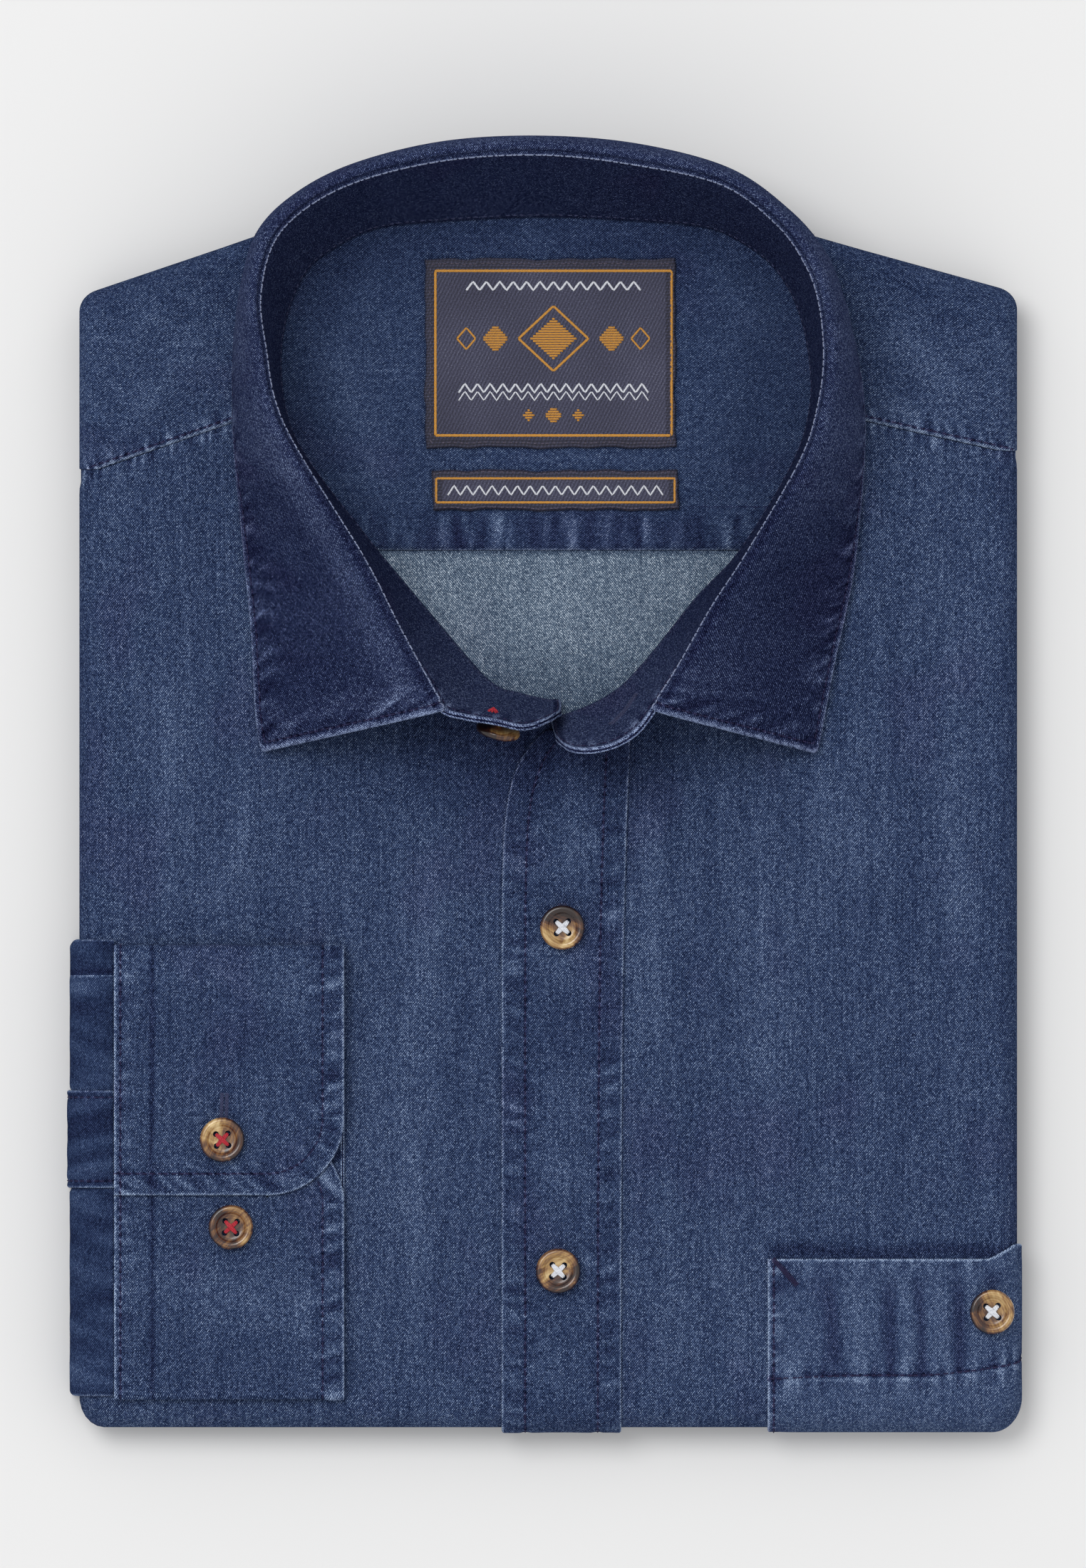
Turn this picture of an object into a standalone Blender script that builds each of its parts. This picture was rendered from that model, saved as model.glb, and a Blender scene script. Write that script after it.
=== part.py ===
"""A man's chambray shirt, buttoned, folded and laid flat, built piece by piece.

Lengths are in millimetres and become metres as each mesh is made. The origin is under the
middle of the folded shirt, on the surface that it lies on: +X is the wearer's left, +Y runs
to the collar and +Z is up. The hidden layers are one rounded solid; every piece of cloth
that shows is a wall laid over it, at a stated height above its surface.
"""

import math
from collections import namedtuple

import bmesh
import bpy
from mathutils import Matrix, Vector

MM = 0.001
GAP = 0.3

# The pile of hidden layers: its outline without the cloth that wraps it.
PILE_LEFT = -118.3
PILE_RIGHT = 121.0
PILE_BOTTOM = -164.7
PILE_TOP = 17.0
SIDE_SAG = 1.2
END_SAG = 1.6

# How far each fold edge rolls over in plan, and the radius of the pile's corners inside it.
SIDE_ROLL = 4.0
END_ROLL = 5.5
BACK_ROLL = 3.4
CORNER = 1.0

# Cloth walls, and the height of each layer's underside above the pile.
SHELL = 1.2
INNER_WALL = 1.0
CUFF_WALL = 1.4
SLEEVE_WALL = 2.2
LABEL_WALL = 1.0
LAYER_1 = GAP
LAYER_2 = LAYER_1 + SHELL + GAP
LABEL_LAYER = LAYER_1 + INNER_WALL + GAP
GAUNTLET_LAYER = LAYER_2 + SLEEVE_WALL + GAP

# The neck: the panels rise towards its seam, and stop clear of the collar stand.
NECK_RISE = 1.5
NECK_RISE_REACH = 25.0
PANEL_CLEAR = 2.0
PLACKET_CLEAR = 2.6
INNER_TUCK = 2.5

# The collar.
STAND_WALL = 1.6
STAND_BASE = 19.0
STAND_BOW = 0.6
LEAF_WALL = 1.8
LEAF_STEPS = 9
LEAF_DROP_REACH = 38.0

# Seams and edges, read across the front.
YOKE_SEAM_RIGHT_SIDE = 81.5
YOKE_SEAM_LEFT_SIDE = 86.3
YOKE_PIVOT_LEFT = 112.0
YOKE_PIVOT_RIGHT = 121.0
SEAM_GAP = 0.35
UNDERLAP_X = 17.9
LEFT_FRONT_X = 18.5
BACK_SEAM_Y = 60.4

CUFF_SEAM_X = -110.8
CUFF_HEM_X = -51.3
CUFF_TOP_Y = -41.4
CUFF_BOTTOM_Y = -159.0
CUFF_OVERLAP_Y = -106.2
CUFF_UNDERLAP_Y = -88.5
CUFF_CORNER = 20.0
SLEEVE_TOP_Y = -40.1
SLEEVE_BOTTOM_Y = -158.1
GAUNTLET_TOP_Y = -79.1
GAUNTLET_BOTTOM_Y = -104.3
SLEEVE_FOOT = 1.0

POCKET_LEFT = 58.0
POCKET_TOP = -122.6
POCKET_LIFT_X = 115.0
POCKET_LIFT = 0.48

PLACKET_LEFT = -10.7
PLACKET_RIGHT = 20.2
PLACKET_FLARE_LEFT = 11.2
PLACKET_FLARE_RIGHT = 2.8
PLACKET_TOP = 13.6

MAIN_LABEL = (-30.4, 86.8, 34.2, 135.6)
SIZE_LABEL = (-28.5, 70.7, 35.0, 81.0)

BUTTON_RADIUS = 5.75
BUTTON_THICK = 2.6
HOLE_RADIUS = 0.75
HOLE_OFFSET = 1.55
SHANK_RADIUS = 1.1
SHORT_SHANK = 0.5
LONG_SHANK = 3.0

ROLL_ANGLES = [math.radians(a) for a in (30, 60, 90, 120, 135)]
SIDE_SPACING = 32.0
END_SPACING = 22.0
BACK_SPACING = 9.0

# A fold edge's layers, from the top down: where each starts and ends, and how far it
# stands out of the groove, as a share of the roll.
Layer = namedtuple("Layer", "high low reach")
SIDE_LAYERS = [Layer(17.0, 8.0, 1.00), Layer(7.4, 5.0, 0.92), Layer(4.6, 2.2, 0.98), Layer(1.8, 0.0, 0.80)]
END_LAYERS = [Layer(17.0, 6.0, 1.00), Layer(5.5, 3.8, 0.85), Layer(3.4, 1.8, 0.95), Layer(1.5, 0.0, 0.75)]
GROOVE = 0.30

# The collar, a row for each section from the wearer's right front round the back to the
# left front. The neck seam and the stand's top edge are seen from above, with the height of
# the seam and the rise of the stand; the hem is the leaf's outer edge.
Section = namedtuple("Section", "neck_x neck_y base top_x top_y rise hem_x hem_y hem_z")
COLLAR = [
    Section(-14.0, 26.1, 19.0, -25.8, 19.0, 27.5, -72.7, 8.1, 20.0),
    Section(-18.8, 30.9, 19.0, -29.3, 25.0, 28.0, -74.2, 18.4, 20.0),
    Section(-29.8, 43.8, 19.0, -37.7, 40.1, 29.0, -75.4, 40.5, 20.0),
    Section(-43.1, 59.8, 19.0, -46.9, 57.6, 30.0, -77.3, 60.7, 20.2),
    Section(-61.1, 83.2, 19.0, -63.7, 84.6, 31.0, -79.3, 86.8, 20.4),
    Section(-66.8, 95.7, 19.0, -69.9, 97.9, 31.0, -79.5, 99.4, 20.4),
    Section(-68.3, 109.5, 19.0, -72.3, 111.3, 31.0, -79.1, 112.8, 20.4),
    Section(-66.4, 121.8, 19.0, -73.7, 125.1, 31.0, -77.2, 126.7, 20.7),
    Section(-61.1, 133.2, 19.0, -70.2, 139.5, 30.5, -72.9, 141.3, 20.2),
    Section(-52.6, 139.8, 19.0, -61.2, 149.1, 30.0, -63.0, 151.2, 15.5),
    Section(-41.8, 144.3, 19.0, -46.7, 156.3, 29.5, -47.8, 158.9, 13.0),
    Section(-22.7, 146.1, 19.0, -24.6, 161.3, 29.5, -25.1, 164.4, 12.7),
    Section(0.2, 147.0, 19.0, 0.2, 162.6, 29.5, 0.2, 165.7, 12.5),
    Section(22.8, 146.1, 19.0, 23.9, 160.1, 29.5, 24.5, 163.9, 12.7),
    Section(42.0, 144.3, 19.0, 46.4, 155.0, 29.5, 47.5, 157.6, 13.0),
    Section(53.0, 139.5, 19.0, 60.6, 144.9, 30.0, 62.7, 147.2, 16.0),
    Section(61.1, 132.5, 19.0, 68.2, 134.6, 30.5, 71.9, 136.8, 20.7),
    Section(66.6, 122.2, 19.0, 72.0, 124.3, 31.0, 76.8, 125.0, 20.8),
    Section(69.4, 109.5, 19.0, 73.4, 110.4, 31.0, 80.2, 111.3, 20.5),
    Section(69.4, 96.6, 19.0, 71.9, 97.2, 31.0, 82.2, 97.9, 20.4),
    Section(64.8, 82.2, 19.0, 67.2, 82.8, 31.0, 82.4, 83.7, 20.4),
    Section(51.5, 60.2, 19.0, 53.4, 58.9, 30.0, 80.6, 58.9, 20.2),
    Section(40.1, 47.8, 19.0, 44.3, 45.1, 29.0, 78.2, 44.7, 20.0),
    Section(29.1, 34.0, 19.0, 35.7, 30.2, 28.0, 75.1, 30.4, 20.0),
    Section(21.7, 25.8, 19.0, 28.5, 19.0, 27.5, 70.8, 7.7, 20.0),
]
RIGHT_YOKE_ROW = 5
LEFT_YOKE_ROW = 19
BACK_SEAM_ROW = 3

# The stand's two rounded ends, from the leaf's end to the tip. The left one laps outside.
StandEnd = namedtuple("StandEnd", "neck_x neck_y base top_x top_y rise")
RIGHT_END = [
    StandEnd(-10.5, 23.9, 19.0, -19.7, 17.1, 27.3),
    StandEnd(-7.4, 23.2, 19.0, -12.7, 16.0, 27.0),
    StandEnd(-3.1, 22.1, 19.0, -5.0, 14.5, 26.0),
    StandEnd(0.9, 21.3, 19.0, 0.6, 16.2, 21.0),
    StandEnd(4.2, 21.0, 19.0, 4.6, 18.4, 11.0),
]
LEFT_END = [
    StandEnd(17.7, 22.8, 19.3, 24.1, 13.4, 27.3),
    StandEnd(13.6, 20.4, 19.8, 18.4, 9.9, 27.0),
    StandEnd(9.2, 18.6, 20.5, 11.8, 8.5, 26.0),
    StandEnd(5.5, 17.3, 21.0, 6.6, 9.2, 21.0),
    StandEnd(2.6, 16.2, 21.0, 3.3, 11.8, 11.0),
]

# Buttons that lie flat on a layer: place, and the height of the cloth under each.
Button = namedtuple("Button", "name x y layer_top")
CUFF_UNDER_TOP = LAYER_2 + 2 * CUFF_WALL + GAP
CUFF_OVER_TOP = CUFF_UNDER_TOP + GAP + CUFF_WALL
BUTTONS = [
    Button("front_button_1", 5.0, -37.0, LAYER_2 + SHELL),
    Button("front_button_2", 3.9, -125.7, LAYER_2 + SHELL),
    Button("cuff_button_1", -82.8, -91.8, CUFF_OVER_TOP),
    Button("cuff_button_2", -80.6, -114.4, CUFF_UNDER_TOP),
    Button("pocket_button", 116.0, -136.3, LAYER_2 + INNER_WALL),
]

# The pile's outline at the outer cloth's edge, at the shoulders and behind the collar.
SHOULDER_EDGE = [(122.5, 126.9), (69.6, 141.5), (42.0, 153.5), (0.0, 158.0), (-42.0, 154.0), (-74.0, 141.5), (-119.8, 126.0)]


# ---------------------------------------------------------------- materials and meshes


def material(name, colour, roughness):
    made = bpy.data.materials.new(name)
    made.use_nodes = True
    shader = made.node_tree.nodes["Principled BSDF"]
    shader.inputs["Base Color"].default_value = (*colour, 1.0)
    shader.inputs["Roughness"].default_value = roughness
    shader.inputs["Metallic"].default_value = 0.0
    return made


def link(obj, surface, collection):
    obj.data.materials.append(surface)
    collection.objects.link(obj)
    return obj


def mesh_object(name, points, faces):
    mesh = bpy.data.meshes.new(name)
    mesh.from_pydata([Vector(p) * MM for p in points], [], faces)
    mesh.validate()
    mesh.update()
    return bpy.data.objects.new(name, mesh)


def grid_faces(rows, columns):
    """Quads of a grid stored row by row, facing the way that rows x columns turns."""
    return [
        (r * columns + c, (r + 1) * columns + c, (r + 1) * columns + c + 1, r * columns + c + 1)
        for r in range(rows - 1)
        for c in range(columns - 1)
    ]


def cloth(name, rows, wall, surface, collection, side=1.0, flip=False):
    """A wall of cloth on a grid of points. side 1 thickens it outwards, 0 both ways."""
    columns = len(rows[0])
    points = [point for row in rows for point in row]
    faces = grid_faces(len(rows), columns)
    if flip:
        faces = [face[::-1] for face in faces]
    piece = mesh_object(name, points, faces)
    solid = piece.modifiers.new("Wall", "SOLIDIFY")
    solid.thickness = wall * MM
    solid.offset = side
    piece.data.shade_smooth()
    piece.data.set_sharp_from_angle(angle=math.radians(50))
    return link(piece, surface, collection)


# ---------------------------------------------------------------- the pile and its edges


def smooth(share):
    share = min(max(share, 0.0), 1.0)
    return share * share * (3.0 - 2.0 * share)


def mix(a, b, share):
    return a + (b - a) * share


def pile_height(x, y):
    """The pile's top, a little lower towards the sides and the folded tail."""
    side = (x / PILE_RIGHT) ** 2
    end = (min(y, 0.0) / PILE_BOTTOM) ** 2
    return PILE_TOP - SIDE_SAG * side - END_SAG * end


# A place on the pile's edge: the end of its flat top, and the way out.
Edge = namedtuple("Edge", "x y out_x out_y")


def layers_at(edge):
    """The fold edge's layers, blended between the sides and the tail end."""
    share = smooth(max(-edge.out_y, 0.0))
    return [
        Layer(mix(side.high, end.high, share), mix(side.low, end.low, share), mix(side.reach, end.reach, share))
        for side, end in zip(SIDE_LAYERS, END_LAYERS)
    ]


def rolls(edge):
    return SIDE_ROLL, (END_ROLL if edge.out_y < 0.0 else BACK_ROLL)


def roll_point(edge, angle, height):
    """A point on the top fold's roll, height above the pile's surface."""
    roll_x, roll_y = rolls(edge)
    top = pile_height(edge.x, edge.y)
    half = (PILE_TOP - layers_at(edge)[0].low) / 2 * top / PILE_TOP
    reach = math.sin(angle)
    x = edge.x + edge.out_x * (roll_x + height) * reach
    y = edge.y + edge.out_y * (roll_y + height) * reach
    return (x, y, top - half + (half + height) * math.cos(angle))


def outward(a, b):
    """The unit normal on the right of the way from a to b."""
    run = Vector((b[0] - a[0], b[1] - a[1]))
    run.normalize()
    return run.y, -run.x


def pile_corners():
    """Centres of the edge's corner arcs, anticlockwise from the tail's right corner."""
    left = PILE_LEFT + SIDE_ROLL + CORNER
    right = PILE_RIGHT - SIDE_ROLL - CORNER
    bottom = PILE_BOTTOM + END_ROLL + CORNER
    inset = LAYER_1 + SHELL + BACK_ROLL + CORNER
    back = []
    for before, here, after in zip(SHOULDER_EDGE, SHOULDER_EDGE[1:], SHOULDER_EDGE[2:]):
        first, second = Vector(outward(before, here)), Vector(outward(here, after))
        way = (first + second).normalized()
        back.append((here[0] - way.x * inset / way.dot(first), here[1] - way.y * inset / way.dot(first)))
    right_shoulder = (right, shoulder_inset(right, SHOULDER_EDGE[0], SHOULDER_EDGE[1], inset))
    left_shoulder = (left, shoulder_inset(left, SHOULDER_EDGE[-2], SHOULDER_EDGE[-1], inset))
    return [(right, bottom), right_shoulder, *back, left_shoulder, (left, bottom)]


def shoulder_inset(x, a, b, inset):
    """Height of the line a-b at x, moved in by inset."""
    out_x, out_y = outward(a, b)
    slope = (b[1] - a[1]) / (b[0] - a[0])
    return a[1] + slope * (x - a[0]) - inset / out_y


def pile_marks():
    """Places on the straight edges where a seam needs a column of its own."""
    left = PILE_LEFT + SIDE_ROLL + CORNER
    right = PILE_RIGHT - SIDE_ROLL - CORNER
    bottom = PILE_BOTTOM + END_ROLL + CORNER
    return {
        "left_front_seam": (right, YOKE_SEAM_LEFT_SIDE - SEAM_GAP),
        "left_yoke_seam": (right, YOKE_SEAM_LEFT_SIDE),
        "right_yoke_seam": (left, YOKE_SEAM_RIGHT_SIDE),
        "right_front_seam": (left, YOKE_SEAM_RIGHT_SIDE - SEAM_GAP),
        "underlap": (UNDERLAP_X, bottom),
        "left_front_edge": (LEFT_FRONT_X, bottom),
    }


def pile_edge():
    """Stations round the pile, anticlockwise, and the index of each mark."""
    corners = pile_corners()
    marks = pile_marks()
    stations = []
    found = {}
    count = len(corners)
    for i, here in enumerate(corners):
        before, after = corners[i - 1], corners[(i + 1) % count]
        into, away = outward(before, here), outward(here, after)
        start, end = math.atan2(into[1], into[0]), math.atan2(away[1], away[0])
        turn = (end - start + math.pi) % (2 * math.pi) - math.pi
        steps = max(1, round(turn / math.radians(22.5))) if turn > math.radians(2) else 0
        for k in range(steps + 1):
            angle = start + turn * (k / steps if steps else 0.5)
            out = (math.cos(angle), math.sin(angle))
            stations.append(Edge(here[0] + CORNER * out[0], here[1] + CORNER * out[1], *out))
        on_side = [(name, spot) for name, spot in marks.items() if on_segment(spot, here, after)]
        on_side.sort(key=lambda item: math.dist(item[1], here))
        stops = [here, *(spot for _, spot in on_side), after]
        names = [None, *(name for name, _ in on_side), None]
        for a, b, name in zip(stops, stops[1:], names[1:]):
            pieces = max(1, round(math.dist(a, b) / spacing(away, (a[1] + b[1]) / 2)))
            for k in range(1, pieces + (name is not None)):
                x, y = mix(a[0], b[0], k / pieces), mix(a[1], b[1], k / pieces)
                stations.append(Edge(x + CORNER * away[0], y + CORNER * away[1], *away))
            if name is not None:
                found[name] = len(stations) - 1
    return stations, found


def spacing(out, y):
    """Columns stand close together round the back of the neck."""
    if y > YOKE_SEAM_RIGHT_SIDE:
        return BACK_SPACING
    return END_SPACING if out[1] < -0.5 else SIDE_SPACING


def on_segment(spot, a, b):
    along = math.dist(a, spot) + math.dist(spot, b) - math.dist(a, b)
    return along < 0.01


def edge_between(stations, first, last):
    """Stations from index first to index last, anticlockwise."""
    count = len(stations)
    return [stations[(first + k) % count] for k in range((last - first) % count + 1)]


# ---------------------------------------------------------------- curves


def through(rows, steps):
    """A smooth run through rows of numbers, Catmull-Rom, with steps points to a row."""
    made = []
    for i in range(len(rows) - 1):
        p0 = rows[max(i - 1, 0)]
        p1, p2 = rows[i], rows[i + 1]
        p3 = rows[min(i + 2, len(rows) - 1)]
        for k in range(steps):
            made.append(tuple(catmull(a, b, c, d, k / steps) for a, b, c, d in zip(p0, p1, p2, p3)))
    made.append(tuple(rows[-1]))
    return made


def catmull(a, b, c, d, t):
    slope_b, slope_c = (c - a) / 2, (d - b) / 2
    cube, square = t**3, t**2
    return (
        (2 * cube - 3 * square + 1) * b
        + (cube - 2 * square + t) * slope_b
        + (3 * square - 2 * cube) * c
        + (cube - square) * slope_c
    )


def along(line, share):
    """The point at a share of a polyline's length."""
    lengths = [math.dist(a[:2], b[:2]) for a, b in zip(line, line[1:])]
    left = share * sum(lengths)
    for a, b, length in zip(line, line[1:], lengths):
        if left <= length:
            return tuple(mix(u, v, left / length if length else 0.0) for u, v in zip(a, b))
        left -= length
    return tuple(line[-1])


NECK_STEPS = 3
NECK_POINTS = through([(row.neck_x, row.neck_y) for row in [*RIGHT_END[::-1], *COLLAR, *LEFT_END]], NECK_STEPS)


def neck_line(first, last, out):
    """The neck seam from one section to another, moved out by out. Section 0 is COLLAR's first."""
    begin = (first + len(RIGHT_END)) * NECK_STEPS
    end = (last + len(RIGHT_END)) * NECK_STEPS
    made = []
    for i in range(begin, end + 1):
        before = NECK_POINTS[max(i - 1, 0)]
        after = NECK_POINTS[min(i + 1, len(NECK_POINTS) - 1)]
        out_x, out_y = outward(after, before)
        made.append((NECK_POINTS[i][0] + out_x * out, NECK_POINTS[i][1] + out_y * out))
    return made


def height_at(line, x):
    """The y of a polyline that runs to the right, at x."""
    for a, b in zip(line, line[1:]):
        if x <= b[0]:
            return mix(a[1], b[1], max(x - a[0], 0.0) / max(b[0] - a[0], 1e-6))
    return line[-1][1]


def neck_rise(x, y):
    """How far the panels are lifted towards the neck seam."""
    nearest = min(math.dist((x, y), point) for point in NECK_POINTS)
    return NECK_RISE * (1.0 - smooth(nearest / NECK_RISE_REACH))


def laid(x, y, height):
    """A point on the flat top, height above the pile, with the rise at the neck."""
    return (x, y, pile_height(x, y) + height + neck_rise(x, y))


# ---------------------------------------------------------------- the hidden layers


def pile_column(edge):
    """The pile's surface at one station, from the end of the flat top down to the floor."""
    roll_x, roll_y = rolls(edge)
    drop = PILE_TOP - pile_height(edge.x, edge.y)
    points = []
    for number, layer in enumerate(layers_at(edge)):
        high = layer.high - drop * layer.high / PILE_TOP
        low = layer.low - drop * layer.low / PILE_TOP
        angles = (0, 30, 60, 90, 120, 135, 180) if number == 0 else (0, 60, 120, 180)
        for degrees in angles:
            turn = math.radians(degrees)
            inner = 0.0 if number == 0 and degrees <= 135 else GROOVE
            reach = inner + (layer.reach - inner) * math.sin(turn)
            z = (high + low) / 2 + (high - low) / 2 * math.cos(turn)
            points.append((edge.x + edge.out_x * roll_x * reach, edge.y + edge.out_y * roll_y * reach, z))
    return points


def spread_out(stations):
    """For each station, the one that stands for it further in, where few are enough."""
    kept = [0]
    for i in range(1, len(stations)):
        near = math.dist(stations[i][:2], stations[kept[-1]][:2]) < 5.0
        kept.append(kept[-1] if near else i)
    return kept


def cap(points, ring, stations, kept, shares, height):
    """Faces that close a ring towards the middle, with points added ring by ring."""
    faces = []
    around = len(ring)
    for share in shares:
        inner = {}
        for i in sorted(set(kept)):
            if share == 0.0 and inner:
                inner[i] = len(points) - 1
                continue
            x, y = stations[i].x * share, stations[i].y * share
            inner[i] = len(points)
            points.append((x, y, height(x, y)))
        for i in range(around):
            j = (i + 1) % around
            corners = [ring[i], ring[j], inner[kept[j]], inner[kept[i]]]
            corners = [c for n, c in enumerate(corners) if c != corners[n - 1]]
            if len(corners) > 2:
                faces.append(corners)
        ring = [inner[kept[i]] for i in range(around)]
    return faces


def build_folded_layers(stations, surface, collection):
    """One rounded solid: a flat underside, a layered edge all round and a low crown."""
    columns = [pile_column(edge) for edge in stations]
    around, deep = len(columns), len(columns[0])
    points = [point for column in columns for point in column]
    faces = []
    for i in range(around):
        j = (i + 1) % around
        for k in range(deep - 1):
            faces.append((i * deep + k, i * deep + k + 1, j * deep + k + 1, j * deep + k))
    kept = spread_out(stations)
    top = [i * deep for i in range(around)]
    faces += cap(points, top, stations, kept, (0.9, 0.7, 0.4, 0.0), pile_height)
    floor = [i * deep + deep - 1 for i in range(around)]
    under = cap(points, floor, stations, kept, (0.6, 0.0), lambda x, y: 0.0)
    faces += [face[::-1] for face in under]
    piece = mesh_object("folded_layers", points, faces)
    return link(piece, surface, collection)


# ---------------------------------------------------------------- panels that wrap the pile


def crossing(a, b, line):
    """Where the way from a to b first meets a polyline."""
    for c, d in zip(line, line[1:]):
        run_x, run_y = b[0] - a[0], b[1] - a[1]
        side_x, side_y = d[0] - c[0], d[1] - c[1]
        cross = run_x * side_y - run_y * side_x
        if abs(cross) < 1e-9:
            continue
        t = ((c[0] - a[0]) * side_y - (c[1] - a[1]) * side_x) / cross
        u = ((c[0] - a[0]) * run_y - (c[1] - a[1]) * run_x) / cross
        if 0.0 < t < 1.0 and -1e-6 <= u <= 1.0 + 1e-6:
            return (a[0] + run_x * t, a[1] + run_y * t)
    ends = (line[0], line[-1])
    return min(ends, key=lambda end: abs((b[0] - a[0]) * (end[1] - a[1]) - (b[1] - a[1]) * (end[0] - a[0])))


def fan_panel(neck, edges, pivots, height, angles):
    """Rows from a neck line out to the pile's edge and round its roll, one for each station.

    Each row points away from a pivot inside the neck, which slides from the first to the second.
    """
    lengths = [0.0]
    for a, b in zip(edges, edges[1:]):
        lengths.append(lengths[-1] + math.dist(a[:2], b[:2]))
    rows = []
    for edge, length in zip(edges, lengths):
        share = length / lengths[-1]
        pivot = tuple(mix(a, b, share) for a, b in zip(*pivots))
        start = crossing(pivot, edge, neck)
        reach = math.dist(start, edge[:2])
        near = min(NECK_RISE_REACH, reach * 0.5)
        stops = [0.0, near * 0.3, near * 0.65, near]
        stops += [mix(near, reach, share) for share in (0.34, 0.67, 1.0)]
        row = []
        for stop in stops:
            share = stop / reach
            row.append(laid(mix(start[0], edge.x, share), mix(start[1], edge.y, share), height))
        rise = neck_rise(edge.x, edge.y)
        for angle in angles:
            row.append(roll_point(edge, angle, height + rise * max(math.cos(angle), 0.0)))
        rows.append(row)
    return rows


def build_fronts(stations, marks, surface, collection):
    neck = neck_line(len(COLLAR), len(COLLAR) + 4, PLACKET_CLEAR)
    neck += neck_line(-4, RIGHT_YOKE_ROW + 2, PANEL_CLEAR)
    edges = edge_between(stations, marks["right_front_seam"], marks["underlap"])
    pivots = [(0.0, YOKE_PIVOT_RIGHT), (UNDERLAP_X, YOKE_PIVOT_RIGHT)]
    rows = fan_panel(neck, edges, pivots, LAYER_1, ROLL_ANGLES)
    cloth("right_front", rows, SHELL, surface, collection, flip=True)

    neck = neck_line(LEFT_YOKE_ROW - 2, len(COLLAR) + 1, PANEL_CLEAR)
    edges = edge_between(stations, marks["left_front_edge"], marks["left_front_seam"])
    pivots = [(LEFT_FRONT_X, YOKE_PIVOT_LEFT), (0.0, YOKE_PIVOT_LEFT)]
    rows = fan_panel(neck, edges, pivots, LAYER_1, ROLL_ANGLES)
    cloth("left_front", rows, SHELL, surface, collection, flip=True)


def build_yoke_outer(stations, marks, surface, collection):
    """The outer yoke, from one front seam over the shoulders and the back to the other."""
    neck = neck_line(RIGHT_YOKE_ROW - 2, LEFT_YOKE_ROW + 2, PANEL_CLEAR)
    edges = edge_between(stations, marks["left_yoke_seam"], marks["right_yoke_seam"])
    pivots = [(0.0, YOKE_PIVOT_LEFT), (0.0, YOKE_PIVOT_RIGHT)]
    rows = fan_panel(neck, edges, pivots, LAYER_1, ROLL_ANGLES)
    cloth("yoke_outer", rows, SHELL, surface, collection, flip=True)


# ---------------------------------------------------------------- inside the neck


def chord(row, count):
    """A straight row between the same section on both sides of the neck, tucked under the stand."""
    a = neck_line(row, row, INNER_TUCK)[0]
    b = neck_line(len(COLLAR) - 1 - row, len(COLLAR) - 1 - row, INNER_TUCK)[0]
    return [(mix(a[0], b[0], k / count), mix(a[1], b[1], k / count)) for k in range(count + 1)]


def on_pile(row, height):
    return [(x, y, pile_height(x, y) + height) for x, y in row]


def seam_row(y, count):
    return [(x, y) for x, _ in chord(BACK_SEAM_ROW, count)]


def build_inside(yoke_surface, back_surface, collection):
    """The inner yoke and the back's wrong side, which lie on the pile inside the neck."""
    count = 8
    rows = [seam_row(BACK_SEAM_Y, count)]
    rows += [chord(number, count) for number in range(BACK_SEAM_ROW + 1, 10)]
    back = neck_line(10, 14, INNER_TUCK)
    rows.append([along(back, k / count) for k in range(count + 1)])
    rows = [on_pile(row, LAYER_1) for row in rows]
    cloth("yoke_inner", rows, INNER_WALL, yoke_surface, collection, flip=True)

    rows = [seam_row(BACK_SEAM_Y - GAP, count)]
    rows += [chord(number, count) for number in (2, 1, 0, -1)]
    rows[-1] = [(x, y - 4.0 * math.sin(math.pi * k / count)) for k, (x, y) in enumerate(rows[-1])]
    rows = [on_pile(row, LAYER_1) for row in rows]
    cloth("back_inside", rows, INNER_WALL, back_surface, collection)


def build_label(name, box, surface, collection):
    x0, y0, x1, y1 = box
    across, deep = 6, 4
    rows = []
    for r in range(deep + 1):
        y = mix(y0, y1, r / deep)
        row = [(mix(x0, x1, c / across), y) for c in range(across + 1)]
        rows.append(on_pile(row, LABEL_LAYER))
    cloth(name, rows, LABEL_WALL, surface, collection, flip=True)


# ---------------------------------------------------------------- the collar


def stand_section(neck_x, neck_y, base, top_x, top_y, rise):
    """Four points up the stand, bowed out a little."""
    way = Vector((top_x - neck_x, top_y - neck_y)).normalized()
    points = []
    for share in (0.0, 0.34, 0.67, 1.0):
        bow = STAND_BOW * math.sin(math.pi * share)
        x = mix(neck_x, top_x, share) + way.x * bow
        y = mix(neck_y, top_y, share) + way.y * bow
        points.append((x, y, base + rise * share))
    return points


def build_stand(surface, collection):
    rows = [*RIGHT_END[::-1], *[row[:6] for row in COLLAR], *LEFT_END]
    sections = [stand_section(*row) for row in through([tuple(row) for row in rows], 2)]
    cloth("collar_stand", sections, STAND_WALL, surface, collection, side=0.0)


def leaf_section(row):
    """The leaf: out of the stand's top edge, over its roll and down to its hem."""
    stand = stand_section(*row[:6])
    top, hem = Vector(stand[-1]), Vector(row[6:9])
    rising = (top - Vector(stand[-2])).normalized()
    start = top + rising * (GAP + 0.1)
    reach = math.dist(row[3:5], row[6:8])
    share = smooth(reach / LEAF_DROP_REACH)
    away = Vector((hem.x - top.x, hem.y - top.y, 0.0)).normalized()
    foot = start + rising
    first = foot + rising * mix(6.0, 3.5, share)
    second = hem + away * mix(1.8, -12.0, share) + Vector((0.0, 0.0, mix(25.0, 11.0, share)))
    points = [tuple(start)]
    for k in range(LEAF_STEPS + 1):
        t = k / LEAF_STEPS
        t = mix(t, t * t, 0.35)
        u = 1.0 - t
        point = foot * u**3 + first * (3 * u * u * t) + second * (3 * u * t * t) + hem * t**3
        points.append(tuple(point))
    return points


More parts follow.
